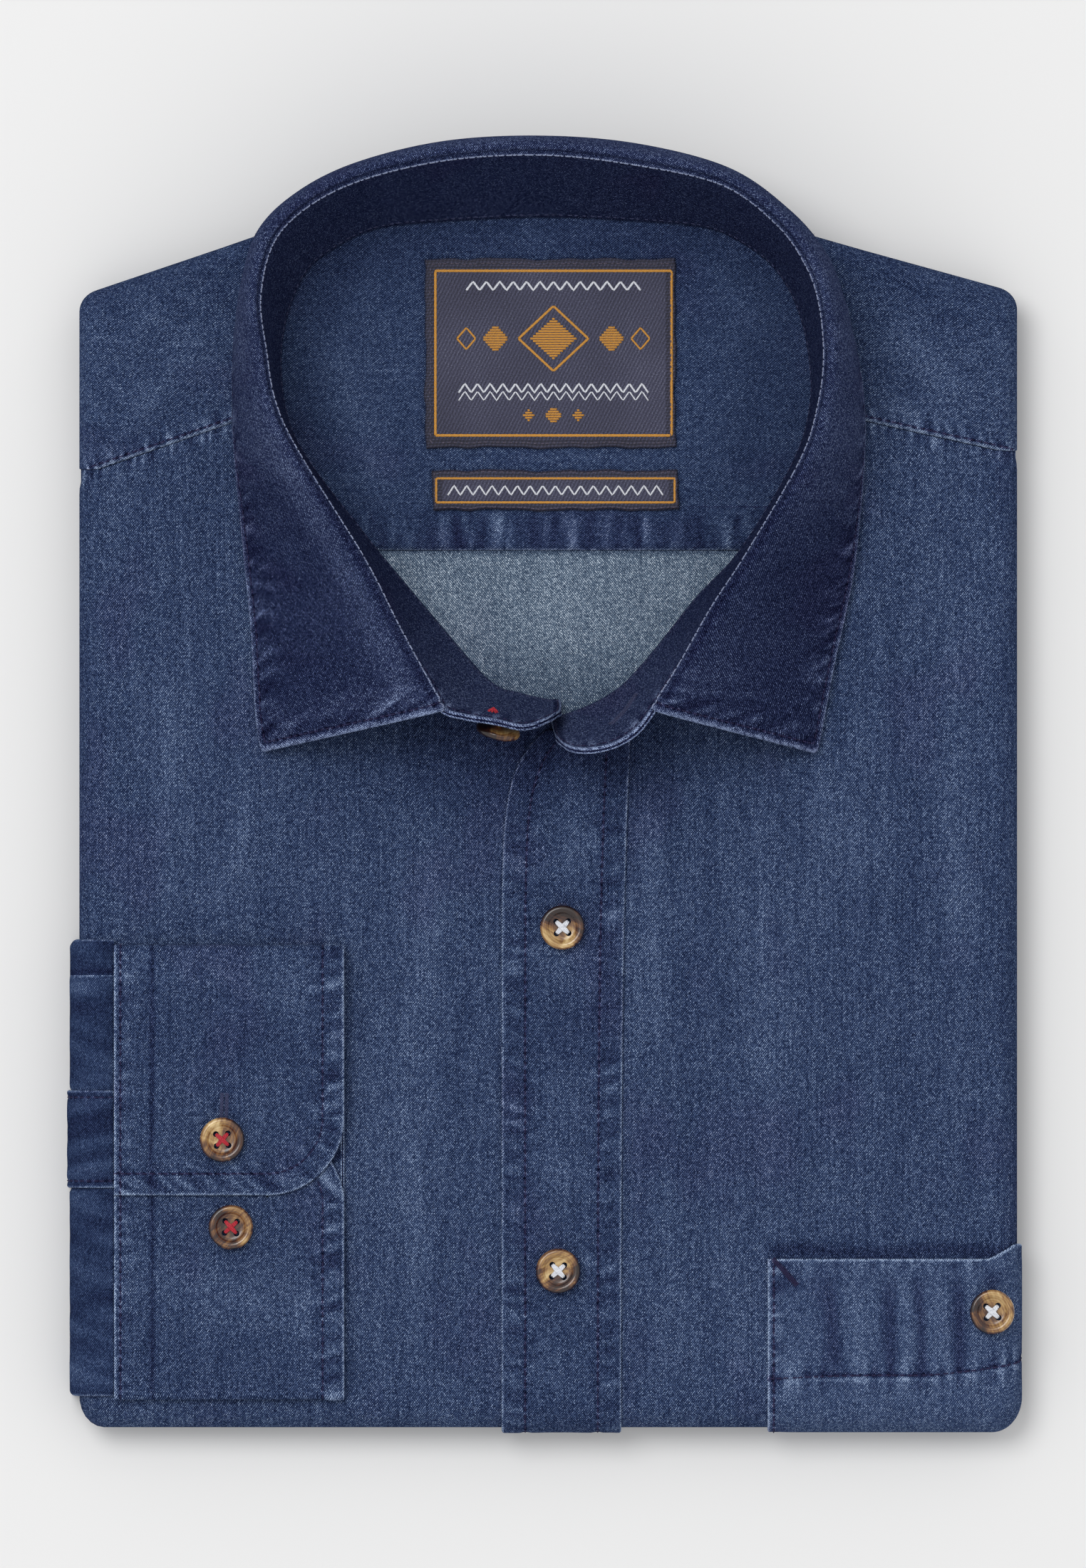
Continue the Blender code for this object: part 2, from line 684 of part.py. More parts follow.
def build_leaf(surface, collection):
    sections = [leaf_section(row) for row in through([tuple(row) for row in COLLAR], 2)]
    cloth("collar_leaf", sections, LEAF_WALL, surface, collection, side=0.0)


# ---------------------------------------------------------------- placket and pocket


def build_placket(surface, collection):
    """The buttonhole placket, from under the stand's end down and round the tail fold."""
    top = neck_line(len(COLLAR) - 2, len(COLLAR) + 4, PLACKET_CLEAR)[::-1]
    edge_y = PILE_BOTTOM + END_ROLL
    heights = [PLACKET_TOP, 8.0, 0.0, -12.0, -30.0, -60.0, -90.0, -120.0, -142.0, edge_y]
    blends = [1.0, 0.62, 0.30, 0.10, 0.0, 0.0, 0.0, 0.0, 0.0, 0.0]
    shares = (0.0, 0.25, 0.5, 0.75, 1.0)
    rows = []
    for y, blend in zip(heights, blends):
        left = PLACKET_LEFT + PLACKET_FLARE_LEFT * math.exp((y - PLACKET_TOP) / 9.0)
        right = PLACKET_RIGHT + PLACKET_FLARE_RIGHT * math.exp((y - PLACKET_TOP) / 40.0)
        row = []
        for share in shares:
            x = mix(left, right, share)
            rise = height_at(top, x) - PLACKET_TOP
            row.append(laid(x, y + blend * rise, LAYER_2))
        rows.append(row)
    for angle in ROLL_ANGLES[:-1]:
        row = []
        for share in shares:
            edge = Edge(mix(PLACKET_LEFT, PLACKET_RIGHT, share), edge_y, 0.0, -1.0)
            row.append(roll_point(edge, angle, LAYER_2))
        rows.append(row)
    cloth("front_placket", rows, SHELL, surface, collection)


def pocket_point(column, row, xs, ys):
    """The pocket's point at a grid place; past the flat top it rolls over the pile's edge."""
    centre_x, centre_y = xs[-1], ys[-1]
    past_x, past_y = column - (len(xs) - 1), row - (len(ys) - 1)
    if past_x <= 0 and past_y <= 0:
        x = xs[column]
        y = ys[row] + (pocket_rise(x) if row == 0 else 0.0)
        return laid(x, y, LAYER_2)
    if past_x > 0 and past_y > 0:
        ring = max(past_x, past_y)
        turn = math.pi / 4 * min(past_x, past_y) / ring
        turn = turn if past_x >= past_y else math.pi / 2 - turn
        out = (math.cos(turn), -math.sin(turn))
        edge = Edge(centre_x + CORNER * out[0], centre_y + CORNER * out[1], *out)
    elif past_x > 0:
        ring = past_x
        y = ys[row] + (pocket_rise(centre_x + CORNER + 2.0 * ring) if row == 0 else 0.0)
        edge = Edge(centre_x + CORNER, y, 1.0, 0.0)
    else:
        ring = past_y
        edge = Edge(xs[column], centre_y - CORNER, 0.0, -1.0)
    if ring == 1:
        return laid(edge.x, edge.y, LAYER_2)
    return roll_point(edge, ROLL_ANGLES[ring - 2], LAYER_2)


def pocket_rise(x):
    """The pocket's mouth climbs where it turns round the side fold."""
    return POCKET_LIFT * min(max(x - POCKET_LIFT_X, 0.0), 8.0)


def build_pocket(surface, collection):
    centre_x = PILE_RIGHT - SIDE_ROLL - CORNER
    centre_y = PILE_BOTTOM + END_ROLL + CORNER
    xs = [POCKET_LEFT, 76.0, 94.0, 108.0, centre_x]
    ys = [POCKET_TOP, -134.0, -146.0, centre_y]
    wraps = len(ROLL_ANGLES)
    rows = [
        [pocket_point(column, row, xs, ys) for column in range(len(xs) + wraps)]
        for row in range(len(ys) + wraps)
    ]
    cloth("pocket", rows, INNER_WALL, surface, collection)


# ---------------------------------------------------------------- sleeve and cuff


def side_wrap(y, start_x, height):
    """Across the flat top to the left fold, round it and down the side."""
    edge = Edge(PILE_LEFT + SIDE_ROLL, y, -1.0, 0.0)
    row = [laid(start_x, y, height), laid(edge.x, y, height)]
    row += [roll_point(edge, angle, height) for angle in ROLL_ANGLES[:3]]
    last = row[-1]
    row += [(last[0], y, mix(last[2], SLEEVE_FOOT, share)) for share in (0.5, 1.0)]
    return row


def build_sleeve(surface, collection):
    """The right sleeve's last stretch, which comes from under the shirt and up its side."""
    stops = [mix(SLEEVE_TOP_Y, SLEEVE_BOTTOM_Y, share) for share in (0.0, 0.25, 0.5, 0.75, 1.0)]
    rows = [side_wrap(y, CUFF_SEAM_X - GAP, LAYER_2) for y in stops]
    cloth("right_sleeve", rows, SLEEVE_WALL, surface, collection, flip=True)
    stops = [mix(GAUNTLET_TOP_Y, GAUNTLET_BOTTOM_Y, share) for share in (0.0, 0.5, 1.0)]
    rows = [side_wrap(y, CUFF_SEAM_X - GAP, GAUNTLET_LAYER) for y in stops]
    cloth("sleeve_placket", rows, SHELL, surface, collection, flip=True)


def cuff_hem(from_end):
    """The hem's place, drawn in round the corner near an end."""
    short = max(CUFF_CORNER - from_end, 0.0)
    return CUFF_HEM_X - (CUFF_CORNER - math.sqrt(CUFF_CORNER**2 - short**2))


def build_cuff(surface, collection):
    """The cuff, a flattened loop: over the top, round its fold, under, and back to its lap."""
    low = LAYER_2 + CUFF_WALL / 2
    middle = CUFF_UNDER_TOP - CUFF_WALL / 2
    high = CUFF_OVER_TOP - CUFF_WALL / 2
    top_bend = (high - low) / 2
    bottom_bend = (middle - low) / 2
    top_y = CUFF_TOP_Y - top_bend - CUFF_WALL / 2
    bottom_y = CUFF_BOTTOM_Y + bottom_bend + CUFF_WALL / 2
    corner = (0.0, 0.8, 3.0, 7.0, 12.5, CUFF_CORNER)
    path = [(CUFF_OVERLAP_Y + d, high, d) for d in corner]
    path += [(mix(path[-1][0], top_y, share), high, CUFF_CORNER) for share in (0.5, 1.0)]
    for degrees in (60, 30, 0, -30, -60, -90):
        turn = math.radians(degrees)
        path.append((top_y + top_bend * math.cos(turn), low + top_bend + top_bend * math.sin(turn), CUFF_CORNER))
    path += [(mix(top_y, bottom_y, share), low, CUFF_CORNER) for share in (0.25, 0.5, 0.75, 1.0)]
    for degrees in (-45, 0, 45, 90):
        turn = math.radians(degrees)
        place = (bottom_y - bottom_bend * math.cos(turn), low + bottom_bend + bottom_bend * math.sin(turn))
        path.append((*place, CUFF_CORNER))
    end = CUFF_UNDERLAP_Y
    path += [(mix(bottom_y, end - CUFF_CORNER, share), middle, CUFF_CORNER) for share in (0.33, 0.67, 1.0)]
    path += [(end - d, middle, d) for d in corner[-2::-1]]
    rows = []
    for y, height, from_end in path:
        hem = cuff_hem(from_end)
        row = []
        for share in (0.0, 0.25, 0.5, 0.75, 1.0):
            x = mix(CUFF_SEAM_X, hem, share)
            row.append(laid(x, y, height))
        rows.append(row)
    cloth("right_cuff", rows, CUFF_WALL, surface, collection, side=0.0)


# ---------------------------------------------------------------- buttons


def button_profile(shank):
    """Half the button from its dished face, over the rim and down to the thread shank."""
    rim, thick = BUTTON_RADIUS, BUTTON_THICK
    return [
        (0.0, shank + thick * 0.62),
        (3.2, shank + thick * 0.62),
        (3.9, shank + thick * 0.96),
        (4.9, shank + thick),
        (rim, shank + thick * 0.62),
        (rim * 0.9, shank + thick * 0.18),
        (3.6, shank),
        (SHANK_RADIUS, shank),
        (SHANK_RADIUS, 0.0),
        (0.0, 0.0),
    ]


def hole_cutter(name, shank, collection):
    """Four pins in a square, as one mesh."""
    made = bmesh.new()
    for x in (-HOLE_OFFSET, HOLE_OFFSET):
        for y in (-HOLE_OFFSET, HOLE_OFFSET):
            place = Matrix.Translation(Vector((x, y, shank + BUTTON_THICK / 2)) * MM)
            bmesh.ops.create_cone(
                made, cap_ends=True, segments=8, radius1=HOLE_RADIUS * MM,
                radius2=HOLE_RADIUS * MM, depth=2 * BUTTON_THICK * MM, matrix=place,
            )
    mesh = bpy.data.meshes.new(name)
    made.to_mesh(mesh)
    made.free()
    cutter = bpy.data.objects.new(name, mesh)
    cutter.hide_render = True
    cutter.display_type = "WIRE"
    collection.objects.link(cutter)
    return cutter


def build_button(name, place, axis, shank, surface, collection, cutters):
    """A four-hole button turned about its own axis, standing on its thread shank."""
    profile = [(r, 0.0, z) for r, z in button_profile(shank)]
    button = mesh_object(name, profile, [])
    for i in range(len(profile) - 1):
        button.data.edges.add(1)
        button.data.edges[-1].vertices = (i, i + 1)
    button.data.update()
    turn = button.modifiers.new("Turn", "SCREW")
    turn.steps = turn.render_steps = 20
    turn.use_merge_vertices = True
    turn.merge_threshold = 0.0001
    turn.use_normal_calculate = False
    cutter = hole_cutter(name + "_holes", shank, cutters)
    cutter.parent = button
    holes = button.modifiers.new("Holes", "BOOLEAN")
    holes.operation = "DIFFERENCE"
    holes.solver = "EXACT"
    holes.object = cutter
    button.rotation_mode = "QUATERNION"
    button.rotation_quaternion = Vector((0.0, 0.0, 1.0)).rotation_difference(Vector(axis))
    button.location = Vector(place) * MM
    return link(button, surface, collection)


def build_buttons(surface, collection, cutters):
    for button in BUTTONS:
        x, y, z = laid(button.x, button.y, button.layer_top + GAP)
        build_button(button.name, (x, y, z), (0.0, 0.0, 1.0), SHORT_SHANK, surface, collection, cutters)
    build_collar_button(surface, collection, cutters)


def build_collar_button(surface, collection, cutters):
    """The collar's button hangs on a long shank outside the stand's right end."""
    before, section, after = (stand_section(*row) for row in RIGHT_END[:3])
    foot = (Vector(section[1]) + Vector(section[2])) / 2
    round_neck = Vector(after[1]) + Vector(after[2]) - Vector(before[1]) - Vector(before[2])
    up_stand = Vector(section[3]) - Vector(section[0])
    axis = round_neck.cross(up_stand).normalized()
    place = foot + axis * (STAND_WALL / 2 + GAP + 0.1)
    build_button("collar_button", place, axis, LONG_SHANK, surface, collection, cutters)


# ---------------------------------------------------------------- the whole shirt


def clear_scene():
    for obj in list(bpy.data.objects):
        bpy.data.objects.remove(obj, do_unlink=True)


def main():
    clear_scene()
    shirt = bpy.data.collections.new("folded_chambray_shirt")
    cutters = bpy.data.collections.new("cutters")
    for collection in (shirt, cutters):
        bpy.context.scene.collection.children.link(collection)

    face = material("chambray_face", (0.050, 0.090, 0.195), 0.85)
    dark = material("chambray_collar", (0.028, 0.045, 0.130), 0.85)
    wrong = material("chambray_wrong_side", (0.190, 0.250, 0.330), 0.90)
    label = material("woven_label", (0.040, 0.040, 0.085), 0.70)
    horn = material("horn", (0.420, 0.240, 0.090), 0.35)

    stations, marks = pile_edge()
    build_folded_layers(stations, face, shirt)
    build_fronts(stations, marks, face, shirt)
    build_yoke_outer(stations, marks, face, shirt)
    build_inside(dark, wrong, shirt)
    build_label("main_label", MAIN_LABEL, label, shirt)
    build_label("size_label", SIZE_LABEL, label, shirt)
    build_stand(dark, shirt)
    build_leaf(dark, shirt)
    build_placket(face, shirt)
    build_pocket(face, shirt)
    build_sleeve(face, shirt)
    build_cuff(face, shirt)
    build_buttons(horn, shirt, cutters)


main()
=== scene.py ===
"""The look of a folded chambray shirt: finer cloth over its solids, stitches, buttons and light.

Lengths are in millimetres and become metres as each mesh is made. A cloth point is given by
its place on the pile of hidden layers and its height above it, as in the shirt's solids.
"""

import math

import bmesh
import bpy
import numpy as np
from mathutils import Matrix, Vector


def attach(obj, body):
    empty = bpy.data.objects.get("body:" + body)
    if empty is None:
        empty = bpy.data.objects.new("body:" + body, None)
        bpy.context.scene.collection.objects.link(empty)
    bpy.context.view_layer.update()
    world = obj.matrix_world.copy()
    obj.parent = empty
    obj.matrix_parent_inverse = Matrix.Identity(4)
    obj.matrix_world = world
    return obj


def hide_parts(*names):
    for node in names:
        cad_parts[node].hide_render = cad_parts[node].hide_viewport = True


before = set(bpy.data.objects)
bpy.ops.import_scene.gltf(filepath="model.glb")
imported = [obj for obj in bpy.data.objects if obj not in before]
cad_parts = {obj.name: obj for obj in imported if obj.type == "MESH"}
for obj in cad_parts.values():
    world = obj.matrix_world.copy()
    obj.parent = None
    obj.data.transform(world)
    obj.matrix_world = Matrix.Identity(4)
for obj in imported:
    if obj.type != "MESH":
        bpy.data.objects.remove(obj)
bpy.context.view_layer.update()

MM = 0.001
TURN = 2 * math.pi
TINY = 1e-9
GAP = 0.3

# The pile of hidden layers: its height, the reach of its folds and half their depth, and how
# far its top falls towards its sides and its tail.
PILE_TOP = 17.0
SIDE_ROLL, END_ROLL, BACK_ROLL = 4.0, 5.5, 3.4
SIDE_BEND, END_BEND = 4.4, 5.0
HALF_WIDTH, HALF_LENGTH, SIDE_DROP, END_DROP = 121.0, 164.7, 1.2, 1.6
CORNER = 1.0

# The walls of the solids, the heights of the layers on the pile, and the room between pieces.
SHELL, INNER_WALL, CUFF_WALL, SLEEVE_WALL = 1.2, 1.0, 1.4, 2.2
LAYER_1, LAYER_2, LABEL_LAYER, GAUNTLET_LAYER = 0.3, 1.8, 1.6, 4.3
NECK_RISE, NECK_RISE_REACH = 1.5, 25.0
PANEL_CLEAR, PLACKET_CLEAR, INNER_TUCK = 2.0, 2.6, 2.5
STAND_WALL, STAND_BOW, STAND_TAB = 1.6, 0.6, 46.0
LEAF_WALL, LEAF_DROP_REACH = 1.8, 38.0
FACE_WALL = 0.8

# Seams and edges of the pieces on the pile. A seam line is given by x, y and its slope.
RIGHT_SEAM, LEFT_SEAM = (-114.3, 81.5, 0.346), (117.0, 86.3, -0.2217)
YOKE_PIVOT_LEFT, YOKE_PIVOT_RIGHT = 112.0, 121.0
SEAM_GAP = 0.35
UNDERLAP_X, LEFT_FRONT_X = 17.9, 18.5
BACK_SEAM_Y, YOKE_BAND = 60.4, 11.0
CUFF_SEAM_X, CUFF_HEM_X, CUFF_TOP_Y, CUFF_BOTTOM_Y = -110.8, -51.3, -41.4, -159.0
CUFF_OVERLAP_Y, CUFF_UNDERLAP_Y, CUFF_CORNER, CUFF_CREASE = -106.2, -88.5, 20.0, 9.7
SLEEVE_TOP_Y, SLEEVE_BOTTOM_Y, SLEEVE_FOOT = -40.1, -158.1, 1.0
SLEEVE_EDGE_X, SLEEVE_FOLD_Y, SLEEVE_FOLD_SLOPE = -122.9, -49.1, 0.04
GAUNTLET_TOP_Y, GAUNTLET_BOTTOM_Y = -79.1, -104.3
POCKET_LEFT, POCKET_TOP, POCKET_MOUTH_Y, POCKET_LIFT_X, POCKET_LIFT = 58.0, -122.6, -120.8, 115.0, 0.48
PLACKET_LEFT, PLACKET_RIGHT, PLACKET_TOP = -10.7, 20.2, 13.6
MAIN_LABEL = (-30.4, 86.8, 34.2, 135.6)
SIZE_LABEL = (-28.5, 70.7, 35.0, 81.0)

# How far rows of stitches lie from an edge or seam.
BAND_STITCH, CUFF_STITCH, CUFF_SEAM_STITCH, LEAF_STITCH, STAND_STITCH = 6.1, 5.6, 1.7, 2.3, 2.0
YOKE_STITCH, POCKET_STITCH, GAUNTLET_STITCH = 1.2, 1.6, 1.8

# The pile's outline: centres of its corner arcs, anticlockwise from the tail's right corner.
PILE = np.array([
    (116.00, -158.20), (116.00, 122.57), (67.63, 135.92), (40.47, 147.73), (-0.03, 152.07),
    (-40.62, 148.20), (-71.98, 135.95), (-113.30, 121.97), (-113.30, -158.20),
])

# Sections of the collar from its right front end to its left: neck x, y and height; the
# stand's top x, y and rise; the leaf's hem x, y and z. The stand runs on at both ends.
COLLAR = [
    (-14.0, 26.1, 19.0, -25.8, 19.0, 27.5, -72.7, 8.1, 20.0),
    (-18.8, 30.9, 19.0, -29.3, 25.0, 28.0, -74.2, 18.4, 20.0),
    (-29.8, 43.8, 19.0, -37.7, 40.1, 29.0, -75.4, 40.5, 20.0),
    (-43.1, 59.8, 19.0, -46.9, 57.6, 30.0, -77.3, 60.7, 20.2),
    (-61.1, 83.2, 19.0, -63.7, 84.6, 31.0, -79.3, 86.8, 20.4),
    (-66.8, 95.7, 19.0, -69.9, 97.9, 31.0, -79.5, 99.4, 20.4),
    (-68.3, 109.5, 19.0, -72.3, 111.3, 31.0, -79.1, 112.8, 20.4),
    (-66.4, 121.8, 19.0, -73.7, 125.1, 31.0, -77.2, 126.7, 20.7),
    (-61.1, 133.2, 19.0, -70.2, 139.5, 30.5, -72.9, 141.3, 20.2),
    (-52.6, 139.8, 19.0, -61.2, 149.1, 30.0, -63.0, 151.2, 15.5),
    (-41.8, 144.3, 19.0, -46.7, 156.3, 29.5, -47.8, 158.9, 13.0),
    (-22.7, 146.1, 19.0, -24.6, 161.3, 29.5, -25.1, 164.4, 12.7),
    (0.2, 147.0, 19.0, 0.2, 162.6, 29.5, 0.2, 165.7, 12.5),
    (22.8, 146.1, 19.0, 23.9, 160.1, 29.5, 24.5, 163.9, 12.7),
    (42.0, 144.3, 19.0, 46.4, 155.0, 29.5, 47.5, 157.6, 13.0),
    (53.0, 139.5, 19.0, 60.6, 144.9, 30.0, 62.7, 147.2, 16.0),
    (61.1, 132.5, 19.0, 68.2, 134.6, 30.5, 71.9, 136.8, 20.7),
    (66.6, 122.2, 19.0, 72.0, 124.3, 31.0, 76.8, 125.0, 20.8),
    (69.4, 109.5, 19.0, 73.4, 110.4, 31.0, 80.2, 111.3, 20.5),
    (69.4, 96.6, 19.0, 71.9, 97.2, 31.0, 82.2, 97.9, 20.4),
    (64.8, 82.2, 19.0, 67.2, 82.8, 31.0, 82.4, 83.7, 20.4),
    (51.5, 60.2, 19.0, 53.4, 58.9, 30.0, 80.6, 58.9, 20.2),
    (40.1, 47.8, 19.0, 44.3, 45.1, 29.0, 78.2, 44.7, 20.0),
    (29.1, 34.0, 19.0, 35.7, 30.2, 28.0, 75.1, 30.4, 20.0),
    (21.7, 25.8, 19.0, 28.5, 19.0, 27.5, 70.8, 7.7, 20.0),
]
RIGHT_END = [
    (-10.5, 23.9, 19.0, -19.7, 17.1, 27.3),
    (-7.4, 23.2, 19.0, -12.7, 16.0, 27.0),
    (-3.1, 22.1, 19.0, -5.0, 14.5, 26.0),
    (0.9, 21.3, 19.0, 0.6, 16.2, 21.0),
    (4.2, 21.0, 19.0, 4.6, 18.4, 11.0),
]
LEFT_END = [
    (17.7, 22.8, 19.3, 24.1, 13.4, 27.3),
    (13.6, 20.4, 19.8, 18.4, 9.9, 27.0),
    (9.2, 18.6, 20.5, 11.8, 8.5, 26.0),
    (5.5, 17.3, 21.0, 6.6, 9.2, 21.0),
    (2.6, 16.2, 21.0, 3.3, 11.8, 11.0),
]
RIGHT_YOKE_ROW, LEFT_YOKE_ROW, BACK_SEAM_ROW = 5, 19, 3

# A mask's value away from every edge and seam.
FAR = 99.0


# ---------------------------------------------------------------- numbers and curves


def smooth(share):
    """From 0 to 1 with level ends."""
    share = np.clip(share, 0.0, 1.0)
    return share * share * (3.0 - 2.0 * share)


def mix(a, b, share):
    return a + (b - a) * share


def bell(offset, width):
    """A bump of height 1 that falls to 1/e at its width."""
    return np.exp(-((offset / width) ** 2))


def unit(vectors):
    return vectors / np.maximum(np.linalg.norm(vectors, axis=-1, keepdims=True), TINY)


def arc_lengths(line):
    return np.concatenate([[0.0], np.cumsum(np.linalg.norm(np.diff(line, axis=0), axis=1))])


def sample(want, run, line):
    """The points of a line at running lengths."""
    return np.stack([np.interp(want, run, column) for column in line.T], -1)


def catmull(a, b, c, d, t):
    slope_b, slope_c = (c - a) / 2, (d - b) / 2
    cube, square = t**3, t**2
    return ((2 * cube - 3 * square + 1) * b + (cube - 2 * square + t) * slope_b
            + (3 * square - 2 * cube) * c + (cube - square) * slope_c)


def through(rows, steps):
    """A smooth run through rows of numbers, Catmull-Rom, with steps points to a row."""
    rows = np.array(rows, float)
    last = len(rows) - 1
    made = []
    for i in range(last):
        four = [rows[max(i - 1, 0)], rows[i], rows[i + 1], rows[min(i + 2, last)]]
        made += [catmull(*four, k / steps) for k in range(steps)]
    return np.array([*made, rows[-1]])


def wave(x, seed, scale):
    """A smooth uneven ripple between -1 and 1, different for each seed."""
    turn = TURN * x / scale
    a, b, c = (math.sin(seed * 12.9) * 3, math.sin(seed * 78.2) * 3, math.sin(seed * 37.7) * 3)
    return (np.sin(turn + a + 1.3 * np.sin(turn * 0.37 + b)) * 0.6
            + np.sin(turn * 1.73 + c + np.sin(turn * 0.61 + a)) * 0.3
            + np.sin(turn * 0.43 + b) * 0.3)


def polyline_nearest(px, py, line):
    """Distance from many places to a polyline."""
    best = np.full(np.shape(px), 1e9)
    for (ax, ay), (bx, by) in zip(line[:-1], line[1:]):
        dx, dy = bx - ax, by - ay
        t = np.clip(((px - ax) * dx + (py - ay) * dy) / max(dx * dx + dy * dy, TINY), 0, 1)
        best = np.minimum(best, np.hypot(px - ax - t * dx, py - ay - t * dy))
    return best


# ---------------------------------------------------------------- the pile


NECK_STEPS = 6
NECK = through([row[:2] for row in [*RIGHT_END[::-1], *COLLAR, *LEFT_END]], NECK_STEPS)


def pile_height(x, y):
    return PILE_TOP - SIDE_DROP * (x / HALF_WIDTH) ** 2 - END_DROP * (np.minimum(y, 0.0) / HALF_LENGTH) ** 2


def neck_rise(x, y):
    return NECK_RISE * (1.0 - smooth(polyline_nearest(x, y, NECK) / NECK_RISE_REACH))


def on_top(x, y, height):
    """Points above the pile, lifted near the neck by the collar's seam."""
    return np.stack([x, y, pile_height(x, y) + height + neck_rise(x, y)], -1)


def on_pile(x, y, height):
    return np.stack([x, y, pile_height(x, y) + height], -1)


def neck_line(first, last, out):
    """The neck seam from one section to another, moved out by out. Section 0 is COLLAR's first."""
    begin, end = (first + len(RIGHT_END)) * NECK_STEPS, (last + len(RIGHT_END)) * NECK_STEPS
    index = np.arange(begin, end + 1)
    run = unit(NECK[np.minimum(index + 1, len(NECK) - 1)] - NECK[np.maximum(index - 1, 0)])
    return NECK[index] + np.stack([-run[:, 1], run[:, 0]], 1) * out


def roll_point(x, y, out_x, out_y, angle, height):
    """A point on the top fold's roll, height above the pile's surface."""
    top = pile_height(x, y)
    low = mix(8.0, 6.0, smooth(-out_y))
    half = (PILE_TOP - low) / 2 * top / PILE_TOP
    roll_y = np.where(out_y < 0.0, END_ROLL, BACK_ROLL)
    reach = np.sin(angle)
    px = x + out_x * (SIDE_ROLL + height) * reach
    py = y + out_y * (roll_y + height) * reach
    return np.stack([px, py, top - half + (half + height) * np.cos(angle)], -1)


def outline():
    """The pile's rounded outline, closely spaced: x, y, the way out, and a running weight."""
    rows, weight = [], 0.0
    count = len(PILE)
    for i in range(count):
        before, here, after = PILE[i - 1], PILE[i], PILE[(i + 1) % count]
        into, away = here - before, after - here
        start = math.atan2(-into[0], into[1])
        turn = (math.atan2(-away[0], away[1]) - start + math.pi) % (2 * math.pi) - math.pi
        steps = max(2, round(abs(turn) / math.radians(9)))
        for k in range(steps + 1):
            angle = start + turn * k / steps
            out = (math.cos(angle), math.sin(angle))
            weight += 0.9 if k else 0.0
            rows.append((here[0] + CORNER * out[0], here[1] + CORNER * out[1], *out, weight))
        length = math.hypot(*away)
        steps = max(2, round(length / 1.5))
        side = (away[1] / length, -away[0] / length)
        for k in range(1, steps):
            spot = here + away * k / steps
            weight += length / steps
            rows.append((spot[0] + CORNER * side[0], spot[1] + CORNER * side[1], *side, weight))
        weight += length / steps
    return np.array(rows), weight


OUTLINE, OUTLINE_LENGTH = outline()


def stations(start, end, spacing):
    """Places along the pile's edge from one point to another, anticlockwise."""
    keys = []
    for x, y in (start, end):
        near = np.argmin(np.hypot(OUTLINE[:, 0] - x, OUTLINE[:, 1] - y))
        best = None
        for a, b in ((near - 1, near), (near, (near + 1) % len(OUTLINE))):
            ax, ay, bx, by = *OUTLINE[a, :2], *OUTLINE[b, :2]
            length = math.hypot(bx - ax, by - ay)
            t = ((x - ax) * (bx - ax) + (y - ay) * (by - ay)) / max(length**2, TINY)
            t = min(max(t, 0.0), 1.0)
            off = math.hypot(ax + t * (bx - ax) - x, ay + t * (by - ay) - y)
            if best is None or off < best[0]:
                wa, wb = OUTLINE[a, 4], OUTLINE[b, 4]
                best = (off, mix(wa, wb if wb >= wa else wb + OUTLINE_LENGTH, t))
        keys.append(best[1])
    if keys[1] <= keys[0]:
        keys[1] += OUTLINE_LENGTH
    count = max(2, round((keys[1] - keys[0]) / spacing))
    want = np.linspace(keys[0], keys[1], count + 1)
    return outline_at(want), want - want[0]


def outline_at(want):
    """Places on the pile's edge at running weights."""
    known = np.concatenate([OUTLINE[:, 4], OUTLINE[:, 4] + OUTLINE_LENGTH])
    made = sample(want, known, np.tile(OUTLINE[:, :4], (2, 1)))
    made[:, 2:] = unit(made[:, 2:])
    return made


def crossing(a, b, line):
    """Where the way from a to b first meets a polyline."""
    for c, d in zip(line[:-1], line[1:]):
        run_x, run_y = b[0] - a[0], b[1] - a[1]
        side_x, side_y = d[0] - c[0], d[1] - c[1]
        cross = run_x * side_y - run_y * side_x
        if abs(cross) < TINY:
            continue
        t = ((c[0] - a[0]) * side_y - (c[1] - a[1]) * side_x) / cross
        u = ((c[0] - a[0]) * run_y - (c[1] - a[1]) * run_x) / cross
        if 0.0 < t < 1.0 and -1e-6 <= u <= 1.0 + 1e-6:
            return (a[0] + run_x * t, a[1] + run_y * t)
    ends = (line[0], line[-1])
    off = [abs((b[0] - a[0]) * (end[1] - a[1]) - (b[1] - a[1]) * (end[0] - a[0])) for end in ends]
    return tuple(ends[0] if off[0] <= off[1] else ends[1])


# ---------------------------------------------------------------- pieces of cloth


# The outer face, its normals and the slot of every cloth, for the stitches on it.
GRIDS = {}


def add_object(name, mesh, material, replaces=()):
    piece = bpy.data.objects.new(name, mesh)
    bpy.context.scene.collection.objects.link(piece)
    mesh.materials.append(material)
    mesh.shade_smooth()
    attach(piece, "root")
    if replaces:
        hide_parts(*replaces)
    return piece


def build_mesh(name, points, faces):
    mesh = bpy.data.meshes.new(name)
    mesh.from_pydata((np.asarray(points) * MM).tolist(), [], faces)
    return mesh


def set_places(mesh, places, corners=None):
    """Gives every corner its place in the cut, in metres: one for each point, or for each corner."""
    if corners is None:
        corners = np.empty(len(mesh.loops), np.int32)
        mesh.loops.foreach_get("vertex_index", corners)
    layer = mesh.uv_layers.new(name="cut")
    layer.data.foreach_set("uv", places[corners].astype(np.float32).ravel())


def set_values(mesh, name, kind, key, values):
    attribute = mesh.attributes.new(name, kind, "POINT")
    attribute.data.foreach_set(key, np.asarray(values, np.float32).ravel())


def normals_of(grid):
    """Unit normals of a grid of points, by finite differences."""
    return unit(np.cross(np.gradient(grid, axis=1), np.gradient(grid, axis=0)))


def band(upper, lower):
    """The four corners of every step round two rings."""
    return np.stack([upper, np.roll(upper, -1, 0), np.roll(lower, -1, 0), lower], 1)


